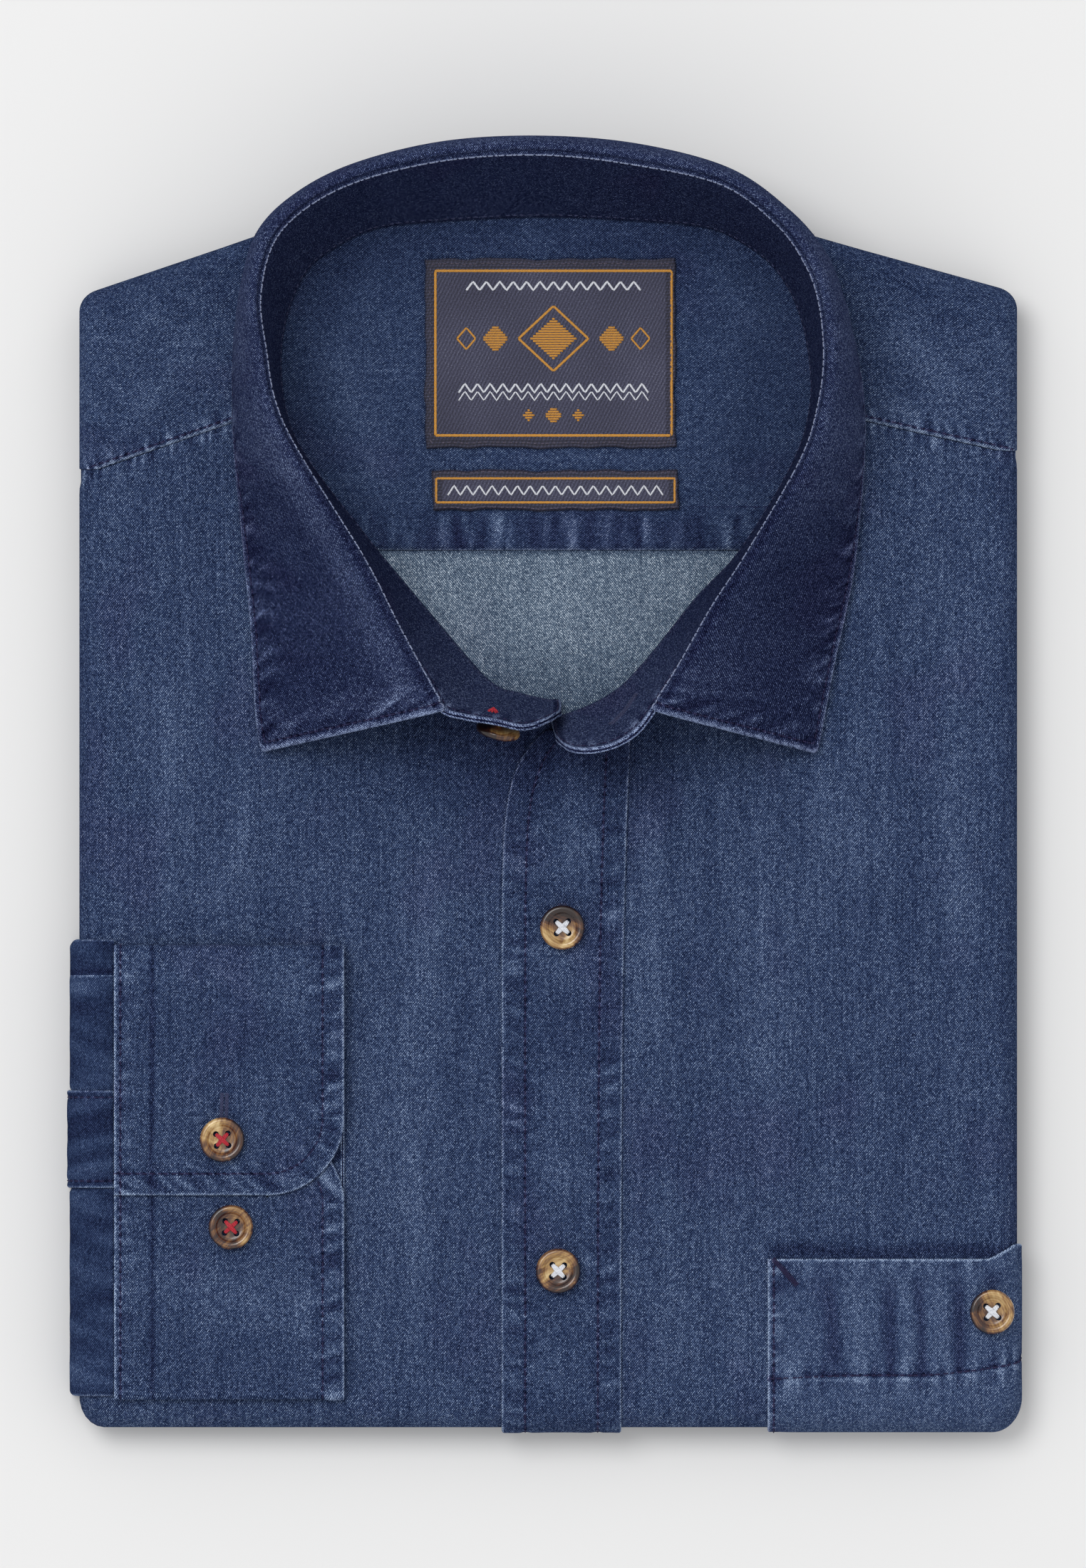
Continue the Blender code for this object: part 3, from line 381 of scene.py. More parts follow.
# A rim's profile from the face to the back: share of the wall, share of the bulge, and
# whether it is a ridge (0) or a groove (1), which is given painted shade. A turned edge shows its two layers.
SOFT_RIM = [(0.2, 0.8, 0.0), (0.5, 1.0, 0.0), (0.8, 0.8, 0.0)]
TURNED_RIM = [(0.1, 0.75, 0.0), (0.28, 1.0, 0.0), (0.42, 0.7, 0.6), (0.5, 0.35, 1.0), (0.58, 0.7, 0.6),
              (0.72, 1.0, 0.0), (0.9, 0.75, 0.0)]


def cloth(name, top, uv, mask, material, rests_on, slot="chambray", wall=FACE_WALL,
          up=(0, 0, 1), bulge=0.25, offset=(0.0, 0.0), seam=0.0, rim=SOFT_RIM, cut=None):
    """A thin shell from its outer face inwards, with a rounded rim, that replaces a solid.

    uv is every point's place in the cut, in mm. mask holds the distance from an edge, the creases,
    the tone and the distance from a seam, where the creases and the tone carry painted shade and light; seam
    is the running length that its dimples follow.
    With rests_on, the size and area of its flat pattern, uv or else cut, are worked out; nothing uses them.
    """
    rows, columns = top.shape[:2]
    normal = normals_of(top)
    if up is not None and np.sum(normal * up) < 0:
        normal = -normal
    bottom = top - normal * wall
    ring = np.array([(0, c) for c in range(columns)] + [(r, columns - 1) for r in range(1, rows)]
                    + [(rows - 1, c) for c in range(columns - 2, -1, -1)]
                    + [(r, 0) for r in range(rows - 2, 0, -1)])
    r, c = ring.T
    inner = np.clip(r, 1, rows - 2), np.clip(c, 1, columns - 2)
    away = unit(top[r, c] - top[inner])
    away_uv = unit(uv[r, c] - uv[inner])
    loops = [mix(top[r, c], bottom[r, c], share) + away * bulge * out for share, out, _ in rim]
    points = np.concatenate([top.reshape(-1, 3), bottom.reshape(-1, 3), *loops])

    size = rows * columns
    index = np.arange(size).reshape(rows, columns)
    quads = np.stack([index[:-1, :-1], index[:-1, 1:], index[1:, 1:], index[1:, :-1]], -1).reshape(-1, 4)
    if np.dot(np.cross(top[0, 1] - top[0, 0], top[1, 1] - top[0, 0]), normal[0, 0]) < 0:
        quads = quads[:, ::-1]
    at = index[r, c]
    levels = [at, *(np.arange(len(ring)) + 2 * size + len(ring) * k for k in range(len(rim))), at + size]
    facing = np.cross(points[at[1]] - points[at[0]], points[levels[1][0]] - points[at[0]])
    order = 1 if np.dot(facing, away[0]) > 0 else -1
    shares = [0.0, *(share for share, _, _ in rim), 1.0]
    beside = [uv[r, c] + away_uv * wall * share for share in shares]
    faces = [quads, quads[:, ::-1] + size]
    places = [uv.reshape(-1, 2)[side % size] for side in faces]
    for k in range(len(levels) - 1):
        faces.append(band(levels[k], levels[k + 1])[:, ::order])
        places.append(band(beside[k], beside[k + 1])[:, ::order])
    mesh = build_mesh(name + "_cloth", points, np.concatenate(faces).tolist())
    set_places(mesh, np.concatenate(places) * MM + np.array(offset), slice(None))

    flat_mask = np.stack([np.broadcast_to(value, (rows, columns)) for value in mask], -1).reshape(-1, 4)
    rim_masks = []
    for _, _, groove in rim:
        copy = flat_mask[at]
        # Painted shade in the groove between a turned edge's two layers.
        copy[:, 1] = copy[:, 1] * 0.5 - 1.6 * groove
        copy[:, 0] = np.where(copy[:, 0] < 1.0, 2.0 * groove, copy[:, 0])
        rim_masks.append(copy)
    set_values(mesh, "mask", "FLOAT_COLOR", "color", np.concatenate([flat_mask, flat_mask, *rim_masks]))
    phase = np.broadcast_to(seam, (rows, columns)).ravel()
    set_values(mesh, "seam", "FLOAT", "value", np.concatenate([phase, phase, *[phase[at]] * len(rim)]))
    mesh.update()
    piece = add_object(name + "_cloth", mesh, material, [name])
    GRIDS[name] = (top, normal, slot)
    if rests_on:
        declare(uv if cut is None else cut)


def declare(uv):
    """Works out the size and area of a cut's flat pattern, which nothing uses."""
    du, dv = np.diff(uv, axis=1)[:-1], np.diff(uv, axis=0)[:, :-1]
    area = float(np.abs(du[..., 0] * dv[..., 1] - du[..., 1] * dv[..., 0]).sum()) * MM * MM
    size = (uv.reshape(-1, 2).max(0) - uv.reshape(-1, 2).min(0)) * MM
    area = min(area, float(size[0] * size[1]))


def round_over(distance, radius):
    """How far a rounded edge falls below the face, at a distance in from it."""
    short = np.clip(radius - distance, 0.0, radius)
    return radius - np.sqrt(radius**2 - short**2)


def fine_steps(length, middle=1.4, edge_last=True):
    """Distances along a length, close together at its finished edges."""
    near = [0.0, 0.15, 0.35, 0.6, 0.9, 1.25, 1.65, 2.1, 2.6, 3.2, 3.9, 4.7, 5.6, 6.6]
    end = near if edge_last else [0.0]
    inside = length - near[-1] - end[-1]
    count = max(1, round(inside / middle))
    body = [near[-1] + inside * k / count for k in range(1, count)]
    return np.array([*near, *body, *[length - d for d in end[::-1]]])


# ---------------------------------------------------------------- materials


class Signal:
    """A node's output. Adding to it or multiplying it makes a further node."""

    def __init__(self, nodes, socket):
        self.nodes = nodes
        self.socket = socket

    def __add__(self, other):
        return self.nodes.math("ADD", self, other)

    def __radd__(self, number):
        return self.nodes.math("ADD", number, self)

    def __sub__(self, number):
        return self + -number

    def __mul__(self, other):
        return self.nodes.math("MULTIPLY", self, other)


class Nodes:
    """A short way to write a material's nodes."""

    def __init__(self, name):
        self.material = bpy.data.materials.new(name)
        self.material.use_nodes = True
        self.tree = self.material.node_tree
        self.shader = self.tree.nodes["Principled BSDF"]

    def feed(self, node, inputs):
        """Links a node's inputs to signals or sets them to constants."""
        for key, value in inputs.items():
            if isinstance(value, Signal):
                self.tree.links.new(value.socket, node.inputs[key])
            else:
                node.inputs[key].default_value = value

    def node(self, kind, output, inputs, **settings):
        made = self.tree.nodes.new(kind)
        for key, value in settings.items():
            setattr(made, key, value)
        self.feed(made, inputs)
        return Signal(self, made.outputs[output])

    def split(self, kind, signal):
        made = self.tree.nodes.new(kind)
        self.feed(made, {0: signal})
        return [Signal(self, socket) for socket in made.outputs]

    def math(self, operation, *values, clamp=False):
        return self.node("ShaderNodeMath", 0, dict(enumerate(values)), operation=operation, use_clamp=clamp)

    def sine(self, angle):
        return self.math("SINE", angle)

    def range(self, value, low, high, to_low=0.0, to_high=1.0):
        inputs = dict(enumerate((value, low, high, to_low, to_high)))
        return self.node("ShaderNodeMapRange", "Result", inputs, interpolation_type="SMOOTHSTEP")

    def vector(self, x, y):
        return self.node("ShaderNodeCombineXYZ", 0, {0: x, 1: y})

    def noise(self, x, y, detail=2.0, distortion=0.0, roughness=0.5):
        """Noise from 0 to 1 at a place given in cycles."""
        inputs = {"Vector": self.vector(x, y), "Scale": 1.0, "Detail": detail,
                  "Roughness": roughness, "Distortion": distortion}
        return self.node("ShaderNodeTexNoise", "Fac", inputs, noise_dimensions="2D")

    def cells(self, x, y):
        """A random value from 0 to 1 for every unit square."""
        square = self.vector(self.math("FLOOR", x), self.math("FLOOR", y))
        return self.node("ShaderNodeTexWhiteNoise", "Value", {"Vector": square}, noise_dimensions="2D")

    def blend(self, share, a, b, kind="MIX"):
        return self.node("ShaderNodeMix", 2, {0: share, 6: a, 7: b}, data_type="RGBA", blend_type=kind)

    def attribute(self, name, output):
        return self.node("ShaderNodeAttribute", output, {}, attribute_name=name)

    def in_mm(self, places):
        x, y, _ = self.split("ShaderNodeSeparateXYZ", places)
        return x * 1000.0, y * 1000.0

    def place(self):
        """The cut's two coordinates, in mm."""
        return self.in_mm(self.node("ShaderNodeUVMap", 0, {}, uv_map="cut"))

    def masks(self):
        """Distance from an edge, creases, tone and distance from a seam; creases and tone carry painted shade
        and light.
        """
        return (*self.split("ShaderNodeSeparateColor", self.attribute("mask", "Color")),
                self.attribute("mask", "Alpha"))

    def ramp(self, value, stops):
        """A colour for every value, through stops given in 8-bit sRGB."""
        made = self.tree.nodes.new("ShaderNodeValToRGB")
        elements = made.color_ramp.elements
        while len(elements) < len(stops):
            elements.new(0.5)
        for element, (place, colour) in zip(elements, stops):
            element.position = place
            element.color = (*srgb(*colour), 1.0)
        self.feed(made, {"Fac": value})
        return Signal(self, made.outputs["Color"])

    def bump(self, height, distance, strength):
        inputs = {"Height": height, "Distance": distance, "Strength": strength}
        self.feed(self.shader, {"Normal": self.node("ShaderNodeBump", 0, inputs)})

    def finish(self, colour, roughness, specular=0.25, sheen=0.0, coat=0.0):
        self.feed(self.shader, {"Base Color": colour, "Roughness": roughness, "Specular IOR Level": specular,
                                "Sheen Weight": sheen, "Sheen Roughness": 0.5,
                                "Coat Weight": coat, "Coat Roughness": 0.1})
        return self.material


def srgb(r, g, b):
    return tuple((c / 255 / 12.92) if c <= 10 else ((c / 255 + 0.055) / 1.055) ** 2.4 for c in (r, g, b))


def even_stops(*colours):
    return [(k / (len(colours) - 1), colour) for k, colour in enumerate(colours)]


DENIM = even_stops((3, 5, 16), (16, 22, 44), (37, 50, 81), (73, 90, 124), (160, 178, 206))
DARK_DENIM = even_stops((2, 3, 13), (14, 18, 41), (31, 38, 67), (62, 73, 108), (146, 162, 196))
PALE_DENIM = even_stops((6, 12, 26), (26, 38, 60), (66, 82, 104), (112, 130, 150), (214, 226, 238))

# The pitch of the weave's ribs across and along the warp, and of the dimples along a seam.
RIB_ACROSS, RIB_ALONG, DIMPLE = 0.59, 0.7, 2.3
PURPLE = (1.22, 0.84, 0.98, 1.0)


def denim(name, stops, slant=1.0, grain=1.0, slub=1.0, cloud=1.0, purple=1.0, lift=0.0):
    """Indigo chambray: ribs both ways with a tone for every yarn between them, grit, slubs along
    the warp, faded edges and dimples along a seam, painted shade in hollows and painted highlight on
    ridges, and a purple tinge in the painted shade and the darker clouds."""
    made = Nodes(name)
    u, v = made.place()
    edge, crease, tone, stitch = made.masks()
    drift = made.noise(u * 0.55, v * 0.55, 1.0) * 5.0
    over, rise = u * (TURN / RIB_ACROSS) + drift, v * (TURN / RIB_ALONG)
    up_right, up_left = over + rise, over + rise * -1.0
    ribs = made.sine(up_right) * (1.0 - 0.3 * slant) + made.sine(up_left) * (1.0 + 0.3 * slant)
    yarn = made.cells(up_right * (1.0 / TURN) + 0.25, up_left * (1.0 / TURN) + 0.25)
    grit = made.cells(u * 5.2, v * 5.6)
    fine = made.noise(u * 3.4, v * 3.8, 0.0)
    slubs = made.noise(u * 1.9, v * 0.045, 1.0, roughness=0.6)
    streak = made.noise(u * 0.2 + 3.0, v * 0.014, 1.0)
    clouds = made.noise(u * 0.04, v * 0.026 + 41.0, 2.0)
    value = 0.5 + lift + ribs * (0.12 * grain)
    for part, amount in ((yarn, 0.21 * grain), (grit, 0.36 * grain), (fine, 0.2 * grain),
                         (slubs, 0.17 * slub), (streak, 0.07 * slub), (clouds, 0.05 * cloud)):
        value = value + (part - 0.5) * amount
    chafe = made.noise(u * 0.7, v * 0.7 + 11.0, 1.0)
    worn = made.range(edge, 0.15, 1.0, 1.0, 0.0) * made.range(chafe, 0.2, 0.55, 0.3, 1.0)
    near = made.range(made.math("ABSOLUTE", stitch), 0.1, 0.6, 1.0, 0.0)
    groove = near * made.range(chafe, 0.3, 0.65, 1.0, 0.35)
    # Dimples along a seam: faded cloth on their tops and painted shade between them.
    dots = made.sine(made.attribute("seam", "Fac") * (TURN / DIMPLE)) * near
    raised = made.math("MAXIMUM", crease, 0.0)
    # Painted shade and light: crease darkens hollows and lightens ridges, partly the fading of washed cloth
    # on raised puckers; tone brings each piece's painted shade and light.
    value = value + worn * 0.32 + crease * 0.15 + raised * 0.12 + tone * 0.2 + groove * -0.14 + dots * 0.2
    colour = made.ramp(value, stops)
    # A purple tinge in the painted shade, the stitch grooves and the darker clouds.
    shaded = made.range(crease * -0.6 + tone * -0.6 + groove, 0.0, 1.1)
    hollow = made.math("ADD", shaded, made.range(clouds, 0.45, 0.25, 0.0, 0.35), clamp=True)
    colour = made.blend(hollow * (0.6 * purple), colour, made.blend(1.0, colour, PURPLE, "MULTIPLY"))
    made.bump(fine, 0.0001, 0.2)
    return made.finish(colour, 0.9, specular=0.0)


CHAMBRAY = denim("chambray_face", DENIM, lift=0.03)
CROSS = denim("chambray_cross_grain", DENIM, slant=-1.0, slub=0.6, lift=0.02)
COLLAR_CLOTH = denim("collar_cloth", DARK_DENIM, grain=1.05, slub=0.3, cloud=3.2, lift=-0.05)
# Darker and more purple than the collar cloth: painted shade inside the collar's ring.
STAND_CLOTH = denim("stand_cloth", DARK_DENIM, slub=0.15, cloud=1.6, purple=1.4, lift=-0.07)
INNER_YOKE = denim("inner_yoke_cloth", DENIM, slant=-1.0, grain=0.85, slub=0.5, cloud=1.2, lift=0.03)
WRONG_SIDE = denim("chambray_wrong_side", PALE_DENIM, slant=-1.0, slub=0.6, cloud=0.8, purple=0.3, lift=0.11)
POCKET_CLOTH = denim("pocket_cloth", DENIM, grain=0.9, slub=0.7, lift=0.09)
SLEEVE_CLOTH = denim("sleeve_cloth", DENIM, grain=0.7, slub=0.5, cloud=2.0, lift=-0.02)
UNDER_LAYERS = denim("chambray_layers", DENIM, lift=-0.03)


# ---------------------------------------------------------------- panels that wrap the pile


# The spacing of a fan's rows along the pile's edge, in mm, and the points on their flat part.
FRONT_MESH, YOKE_MESH = (1.6, 118), (0.92, 56)


class Fan:
    """Rows from a neck line out to the pile's edge and round its roll."""

    ROLL = np.radians(np.linspace(0.0, 135.0, 16))[1:]
    HEIGHT = LAYER_1 + SHELL

    def __init__(self, neck, start, end, pivots, spacing, columns):
        edges, lengths = stations(start, end, spacing)
        pivot = np.array(pivots[0]) + (np.array(pivots[1]) - pivots[0]) * (lengths / lengths[-1])[:, None]
        starts = np.array([crossing(p, e[:2], neck) for p, e in zip(pivot, edges)])
        run = edges[:, :2] - starts
        reach = np.linalg.norm(run, axis=1)
        run /= reach[:, None]
        near = np.array([0.0, 0.3, 0.7, 1.2, 1.8])
        rest = np.linspace(0.0, 1.0, columns)[1:]
        stops = np.concatenate([np.tile(near, (len(edges), 1)), mix(near[-1], reach[:, None], rest[None])], 1)
        flat_x = starts[:, :1] + run[:, :1] * stops
        flat_y = starts[:, 1:] + run[:, 1:] * stops
        self.flat = flat_x.shape[1]
        ex, ey, nx, ny = (edges[:, k][:, None] for k in range(4))
        roll_y = np.where(ny < 0.0, END_ROLL, BACK_ROLL)
        side = np.abs(nx) * SIDE_ROLL + np.abs(ny) * roll_y
        arc = self.ROLL[None] * ((side + SIDE_BEND) / 2 + self.HEIGHT)
        self.x = np.concatenate([flat_x, ex + nx * arc], 1)
        self.y = np.concatenate([flat_y, ey + ny * arc], 1)
        self.edges = (ex, ey, nx, ny)
        self.from_neck = np.concatenate([stops, reach[:, None] + arc], 1)

    def points(self, relief):
        """The cloth at the fan's height plus the relief given for every point."""
        ex, ey, nx, ny = self.edges
        flat_x, flat_y = self.x[:, :self.flat], self.y[:, :self.flat]
        flat = on_top(flat_x, flat_y, self.HEIGHT + relief[:, :self.flat])
        rise = neck_rise(ex, ey)
        lift = self.HEIGHT + relief[:, self.flat:] + rise * np.maximum(np.cos(self.ROLL), 0.0)[None]
        shape = lift.shape
        angle = np.broadcast_to(self.ROLL[None], shape)
        rolled = roll_point(*(np.broadcast_to(a, shape) for a in (ex, ey, nx, ny)), angle, lift)
        return np.concatenate([flat, rolled], 1)


# Soft ridges and hollows left by folding and handling: from, to, half width, height.
FRONT_CREASES = [
    (-98, 40, -96, -30, 4.0, 0.35), (-60, -10, -57, -150, 6.0, -0.25), (-31, 0, -35, -150, 5.0, 0.35),
    (-22, 5, -19, -100, 3.0, -0.30), (-44, -40, -46, -160, 4.0, 0.25), (-72, 5, -88, -38, 4.5, 0.3),
    (26, 5, 30, -80, 3.5, 0.35), (38, 0, 42, -120, 6.0, -0.3), (56, -10, 60, -100, 5.0, 0.3),
    (70, 5, 86, -30, 6.0, 0.4), (92, 20, 97, -110, 6.0, -0.3), (104, 70, 108, -60, 5.0, 0.35),
    (48, -110, 52, -163, 4.0, 0.3), (-85, 100, -92, 20, 7.0, -0.3), (30, -90, 33, -163, 4.0, 0.25),
]


def creases(x, y, table):
    """Relief of soft straight ridges that fade at both ends."""
    total = np.zeros(np.shape(x))
    for ax, ay, bx, by, width, height in table:
        dx, dy = bx - ax, by - ay
        length = math.hypot(dx, dy)
        along = ((x - ax) * dx + (y - ay) * dy) / length
        off = ((x - ax) * dy - (y - ay) * dx) / length + 1.5 * np.sin(along / 17.0)
        fade = smooth(along / (0.3 * length)) * smooth((length - along) / (0.3 * length))
        total += height * bell(off, width) * fade
    return total


def build_fronts():
    edge_y = PILE[0][1] - CORNER
    neck = np.concatenate([neck_line(len(COLLAR), len(COLLAR) + 4, PLACKET_CLEAR),
                           neck_line(-4, RIGHT_YOKE_ROW + 2, PANEL_CLEAR)])
    start = (PILE[-1][0] - CORNER, RIGHT_SEAM[1] - SEAM_GAP)
    pivots = [(0.0, YOKE_PIVOT_RIGHT), (UNDERLAP_X, YOKE_PIVOT_RIGHT)]
    finish_front("right_front", Fan(neck, start, (UNDERLAP_X, edge_y), pivots, *FRONT_MESH), RIGHT_SEAM, 0.0)

    neck = neck_line(LEFT_YOKE_ROW - 2, len(COLLAR) + 1, PANEL_CLEAR)
    end = (PILE[0][0] + CORNER, LEFT_SEAM[1] - SEAM_GAP)
    pivots = [(LEFT_FRONT_X, YOKE_PIVOT_LEFT), (0.0, YOKE_PIVOT_LEFT)]
    finish_front("left_front", Fan(neck, (LEFT_FRONT_X, edge_y), end, pivots, *FRONT_MESH), LEFT_SEAM, 0.31)


def finish_front(name, fan, line, offset):
    """A front panel: soft creases, and a dip where the yoke is sewn over it."""
    x, y, slope = line
    seam = y - SEAM_GAP + slope * (fan.x - x) - fan.y
    seam = np.maximum(seam, 0.0) * math.cos(math.atan(slope))
    ripple = wave(fan.x, 3.0, 3.4) * bell(seam, 2.6)
    folds = creases(fan.x, fan.y, FRONT_CREASES)
    relief = folds - 0.45 * bell(seam, 1.3) + 0.14 * ripple - 0.9 * bell(fan.from_neck, 1.5)
    # Painted shade where the front rolls over the pile's sides, painted shade and highlight on its creases
    # and ripples, and front_shade's shade under the collar and at the pocket's mouth.
    sides = smooth((np.abs(fan.x - 1.3) - 112.0) / 8.0)
    mask = (FAR, ripple * 0.8 + folds * 0.5, -0.18 * sides + front_shade(fan.x, fan.y), FAR)
    cloth(name, fan.points(relief), np.stack([fan.x, fan.y], -1), mask, CHAMBRAY, ["folded_layers"],
          offset=(offset, 0.0))


def front_shade(x, y):
    """Darker cloth where the collar and the pocket's mouth keep the light off."""
    under = bell(x + 3.0, 40.0) * bell(y - 12.0, 17.0)
    mouth = bell(y - POCKET_MOUTH_Y + 0.6 * np.sin(x / 6.0), 1.9) * smooth((x - 56.0) / 5.0)
    return -0.75 * under - 0.8 * mouth


def build_yoke_outer():
    neck = neck_line(RIGHT_YOKE_ROW - 2, LEFT_YOKE_ROW + 2, PANEL_CLEAR)
    ends = (PILE[0][0] + CORNER, LEFT_SEAM[1]), (PILE[-1][0] - CORNER, RIGHT_SEAM[1])
    fan = Fan(neck, *ends, [(0.0, YOKE_PIVOT_LEFT), (0.0, YOKE_PIVOT_RIGHT)], *YOKE_MESH)
    left, right = (fan.y - (y + slope * (fan.x - x)) for x, y, slope in (LEFT_SEAM, RIGHT_SEAM))
    seam = np.maximum(np.where(fan.x > 0, left * 0.976, right * 0.945), 0.0)
    pucker = wave(fan.x + 0.3 * fan.y, 5.0, 3.6) * bell(seam - 2.0, 2.0)
    folds = creases(fan.x, fan.y, SHOULDER_CREASES)
    open_side = smooth((121.5 - np.abs(fan.x)) / 5.0)
    relief = folds + (0.35 * bell(seam - 2.0, 2.2) + 0.22 * pucker) * open_side - round_over(seam, 0.8)
    relief -= 0.9 * bell(fan.from_neck, 1.5)
    # Painted shade darkens the yoke towards the collar; the ripple is the cloth's own uneven tone.
    tone = -0.25 * smooth((fan.y - 112.0) / 30.0) + 0.08 * wave(fan.x + fan.y, 77.0, 19.0)
    mask = (seam / 1.3, 0.8 * pucker + folds * 0.5, tone, seam - YOKE_STITCH)
    cloth("yoke_outer", fan.points(relief), np.stack([fan.y, -fan.x], -1), mask, CROSS, ["folded_layers"],
          offset=(0.2, 0.7), seam=fan.x * 1.05)
    sew("yoke_stitches", NAVY, "yoke_outer", [seam - YOKE_STITCH])


SHOULDER_CREASES = [
    (84, 118, 112, 96, 4.0, 0.4), (96, 122, 118, 112, 3.0, -0.35), (-84, 120, -112, 92, 4.0, 0.35),
    (-90, 100, -112, 84, 3.0, -0.3), (86, 98, 110, 90, 3.0, 0.3), (-96, 126, -112, 112, 3.0, 0.35),
]


# ---------------------------------------------------------------- inside the neck


def inside_rows(rows, columns, steps):
    """A grid through rows of places, each row spread evenly."""
    even = []
    for row in rows:
        row = np.array(row, float)
        lengths = arc_lengths(row)
        even.append(sample(np.linspace(0, lengths[-1], columns), lengths, row))
    flat = through([row.ravel() for row in even], steps)
    return flat.reshape(len(flat), columns, 2)


def chord(row):
    return [neck_line(end, end, INNER_TUCK)[0] for end in (row, len(COLLAR) - 1 - row)]


def seam_row(y):
    a, b = chord(BACK_SEAM_ROW)
    return [(a[0], y), (b[0], y)]


INSIDE_CREASES = [
    (-58, 120, -40, 70, 5.0, 0.5), (58, 125, 50, 72, 5.0, -0.4), (-10, 143, 4, 136, 4.0, 0.4),
    (40, 138, 60, 110, 4.0, 0.4), (-48, 140, -62, 112, 3.5, -0.4),
]
BACK_CREASES = [(-30, 58, -20, 30, 4.0, 0.3), (25, 58, 30, 35, 4.0, -0.3), (5, 58, 3, 24, 5.0, 0.25)]


def build_inside():
    rows = [seam_row(BACK_SEAM_Y)] + [chord(number) for number in range(BACK_SEAM_ROW + 1, 10)]
    rows.append(neck_line(10, 14, INNER_TUCK))
    grid = inside_rows(rows, 110, 14)
    x, y = grid[..., 0], grid[..., 1]
    up = y - BACK_SEAM_Y
    pucker = wave(x + 0.15 * up, 8.0, 9.0) * 0.4 + wave(x - 0.1 * up, 2.0, 4.3) * 0.3
    pucker = pucker * (smooth(up) * smooth((YOKE_BAND - 0.5 - up) / 2.5)) * (0.6 + 0.4 * wave(x, 12.0, 31.0))
    folds = creases(x, y, INSIDE_CREASES)
    relief = 0.3 * pucker - round_over(up, 0.7) + folds + 0.25 * smooth((YOKE_BAND - up) / 2.0)
    relief -= 0.5 * bell(up - YOKE_BAND, 0.8)
    # Darker across the seam band; painted shade under the stand towards the top and towards the sides.
    tone = -0.2 * smooth((YOKE_BAND - up) / 1.5) - 0.35 * smooth((y - 118.0) / 26.0)
    tone -= 0.12 * smooth((np.abs(x - 1) - 40.0) / 30.0)
    mask = (up / 0.7, pucker * 2.2 + 0.4 * folds, tone, np.minimum(np.abs(up - YOKE_BAND), np.abs(up - 1.5)))
    top = on_pile(x, y, LAYER_1 + INNER_WALL + relief)
    cloth("yoke_inner", top, np.stack([y, -x], -1), mask, INNER_YOKE, ["folded_layers"],
          offset=(0.9, 0.1))

    (ax, ay), (bx, by) = chord(-1)
    last = [(mix(ax, bx, s), mix(ay, by, s) - 4.0 * math.sin(math.pi * s)) for s in np.linspace(0, 1, 9)]
    rows = [seam_row(BACK_SEAM_Y - GAP), *(chord(number) for number in (2, 1, 0)), last]
    grid = inside_rows(rows, 80, 12)
    x, y = grid[..., 0], grid[..., 1]
    down = BACK_SEAM_Y - GAP - y
    folds = creases(x, y, BACK_CREASES)
    top = on_pile(x, y, LAYER_1 + INNER_WALL + folds - 0.35 * bell(down, 1.5))
    # Painted shade towards the front of the neck opening, under the collar's ends; a dark line along the back
    # seam.
    mask = (FAR, 0.3 * folds, -0.5 * smooth((down - 20.0) / 20.0) - 0.9 * bell(down, 0.8), FAR)
    cloth("back_inside", top, grid, mask, WRONG_SIDE, ["folded_layers"], slot="wrong_side",
          offset=(0.4, 0.4))


# ---------------------------------------------------------------- the collar


def stand_grid(rows, ups):
    """Points up the stand for every section."""
    neck, top = rows[:, :2], rows[:, 3:5]
    ups = np.array(ups)[None, :, None]
    flat = mix(neck[:, None], top[:, None], ups) + unit(top - neck)[:, None] * STAND_BOW * np.sin(np.pi * ups)
    z = rows[:, 2][:, None] + rows[:, 5][:, None] * ups[..., 0]
    return np.concatenate([flat, z[..., None]], -1)


def grid_uv(grid):
    """Arc lengths along both ways of a grid: along its middle column, and up each row."""
    steps = np.linalg.norm(np.diff(grid, axis=1), axis=2)
    up = np.concatenate([np.zeros((len(grid), 1)), np.cumsum(steps, 1)], 1)
    run = arc_lengths(grid[:, grid.shape[1] // 2])
    return np.stack([np.broadcast_to(run[:, None], up.shape), up], -1)


def build_stand():
    rows = through([*RIGHT_END[::-1], *[row[:6] for row in COLLAR], *LEFT_END], 12)
    ups = [*np.linspace(0, 0.82, 16), 0.86, 0.89, 0.92, 0.94, 0.957, 0.971, 0.982, 0.992, 1.0]
    grid = stand_grid(rows, ups)
    uv = grid_uv(grid)
    along, up = uv[..., 0], uv[..., 1]
    ends = np.minimum(along, along[-1, 0] - along)
    from_edge = np.minimum(up[:, -1:] - up, ends)
    pucker = wave(along, 4.0, 5.5) * bell(from_edge - 3.0, 2.5) * smooth((STAND_TAB - ends) / 3.0)
    grid = grid + normals_of(grid) * (0.12 * pucker)[..., None]
    top = grid + normals_of(grid) * STAND_WALL / 2
    # Painted light towards the tabs, leaving the back of the stand in its painted shade.
    mask = (np.where(ends < STAND_TAB, from_edge / 0.9, FAR), pucker, 0.55 * smooth((75.0 - ends) / 45.0),
            np.where(ends < STAND_TAB + 2.0, from_edge - STAND_STITCH, FAR))
    cloth("collar_stand", top, uv, mask, STAND_CLOTH, ["yoke_outer", "right_front", "left_front"],
          slot="collar", wall=STAND_WALL, up=None, bulge=0.45, offset=(0.1, 0.6), seam=along, rim=TURNED_RIM)
    sew("stand_stitches", NAVY, "collar_stand", [from_edge - STAND_STITCH], allowed=ends < STAND_TAB - 1.0,
        both_sides=STAND_WALL)
    sew("stand_foot_stitches", HOLE, "collar_stand", [up - 1.3], pitch=2.0, length=1.1, radius=0.12,
        both_sides=STAND_WALL)


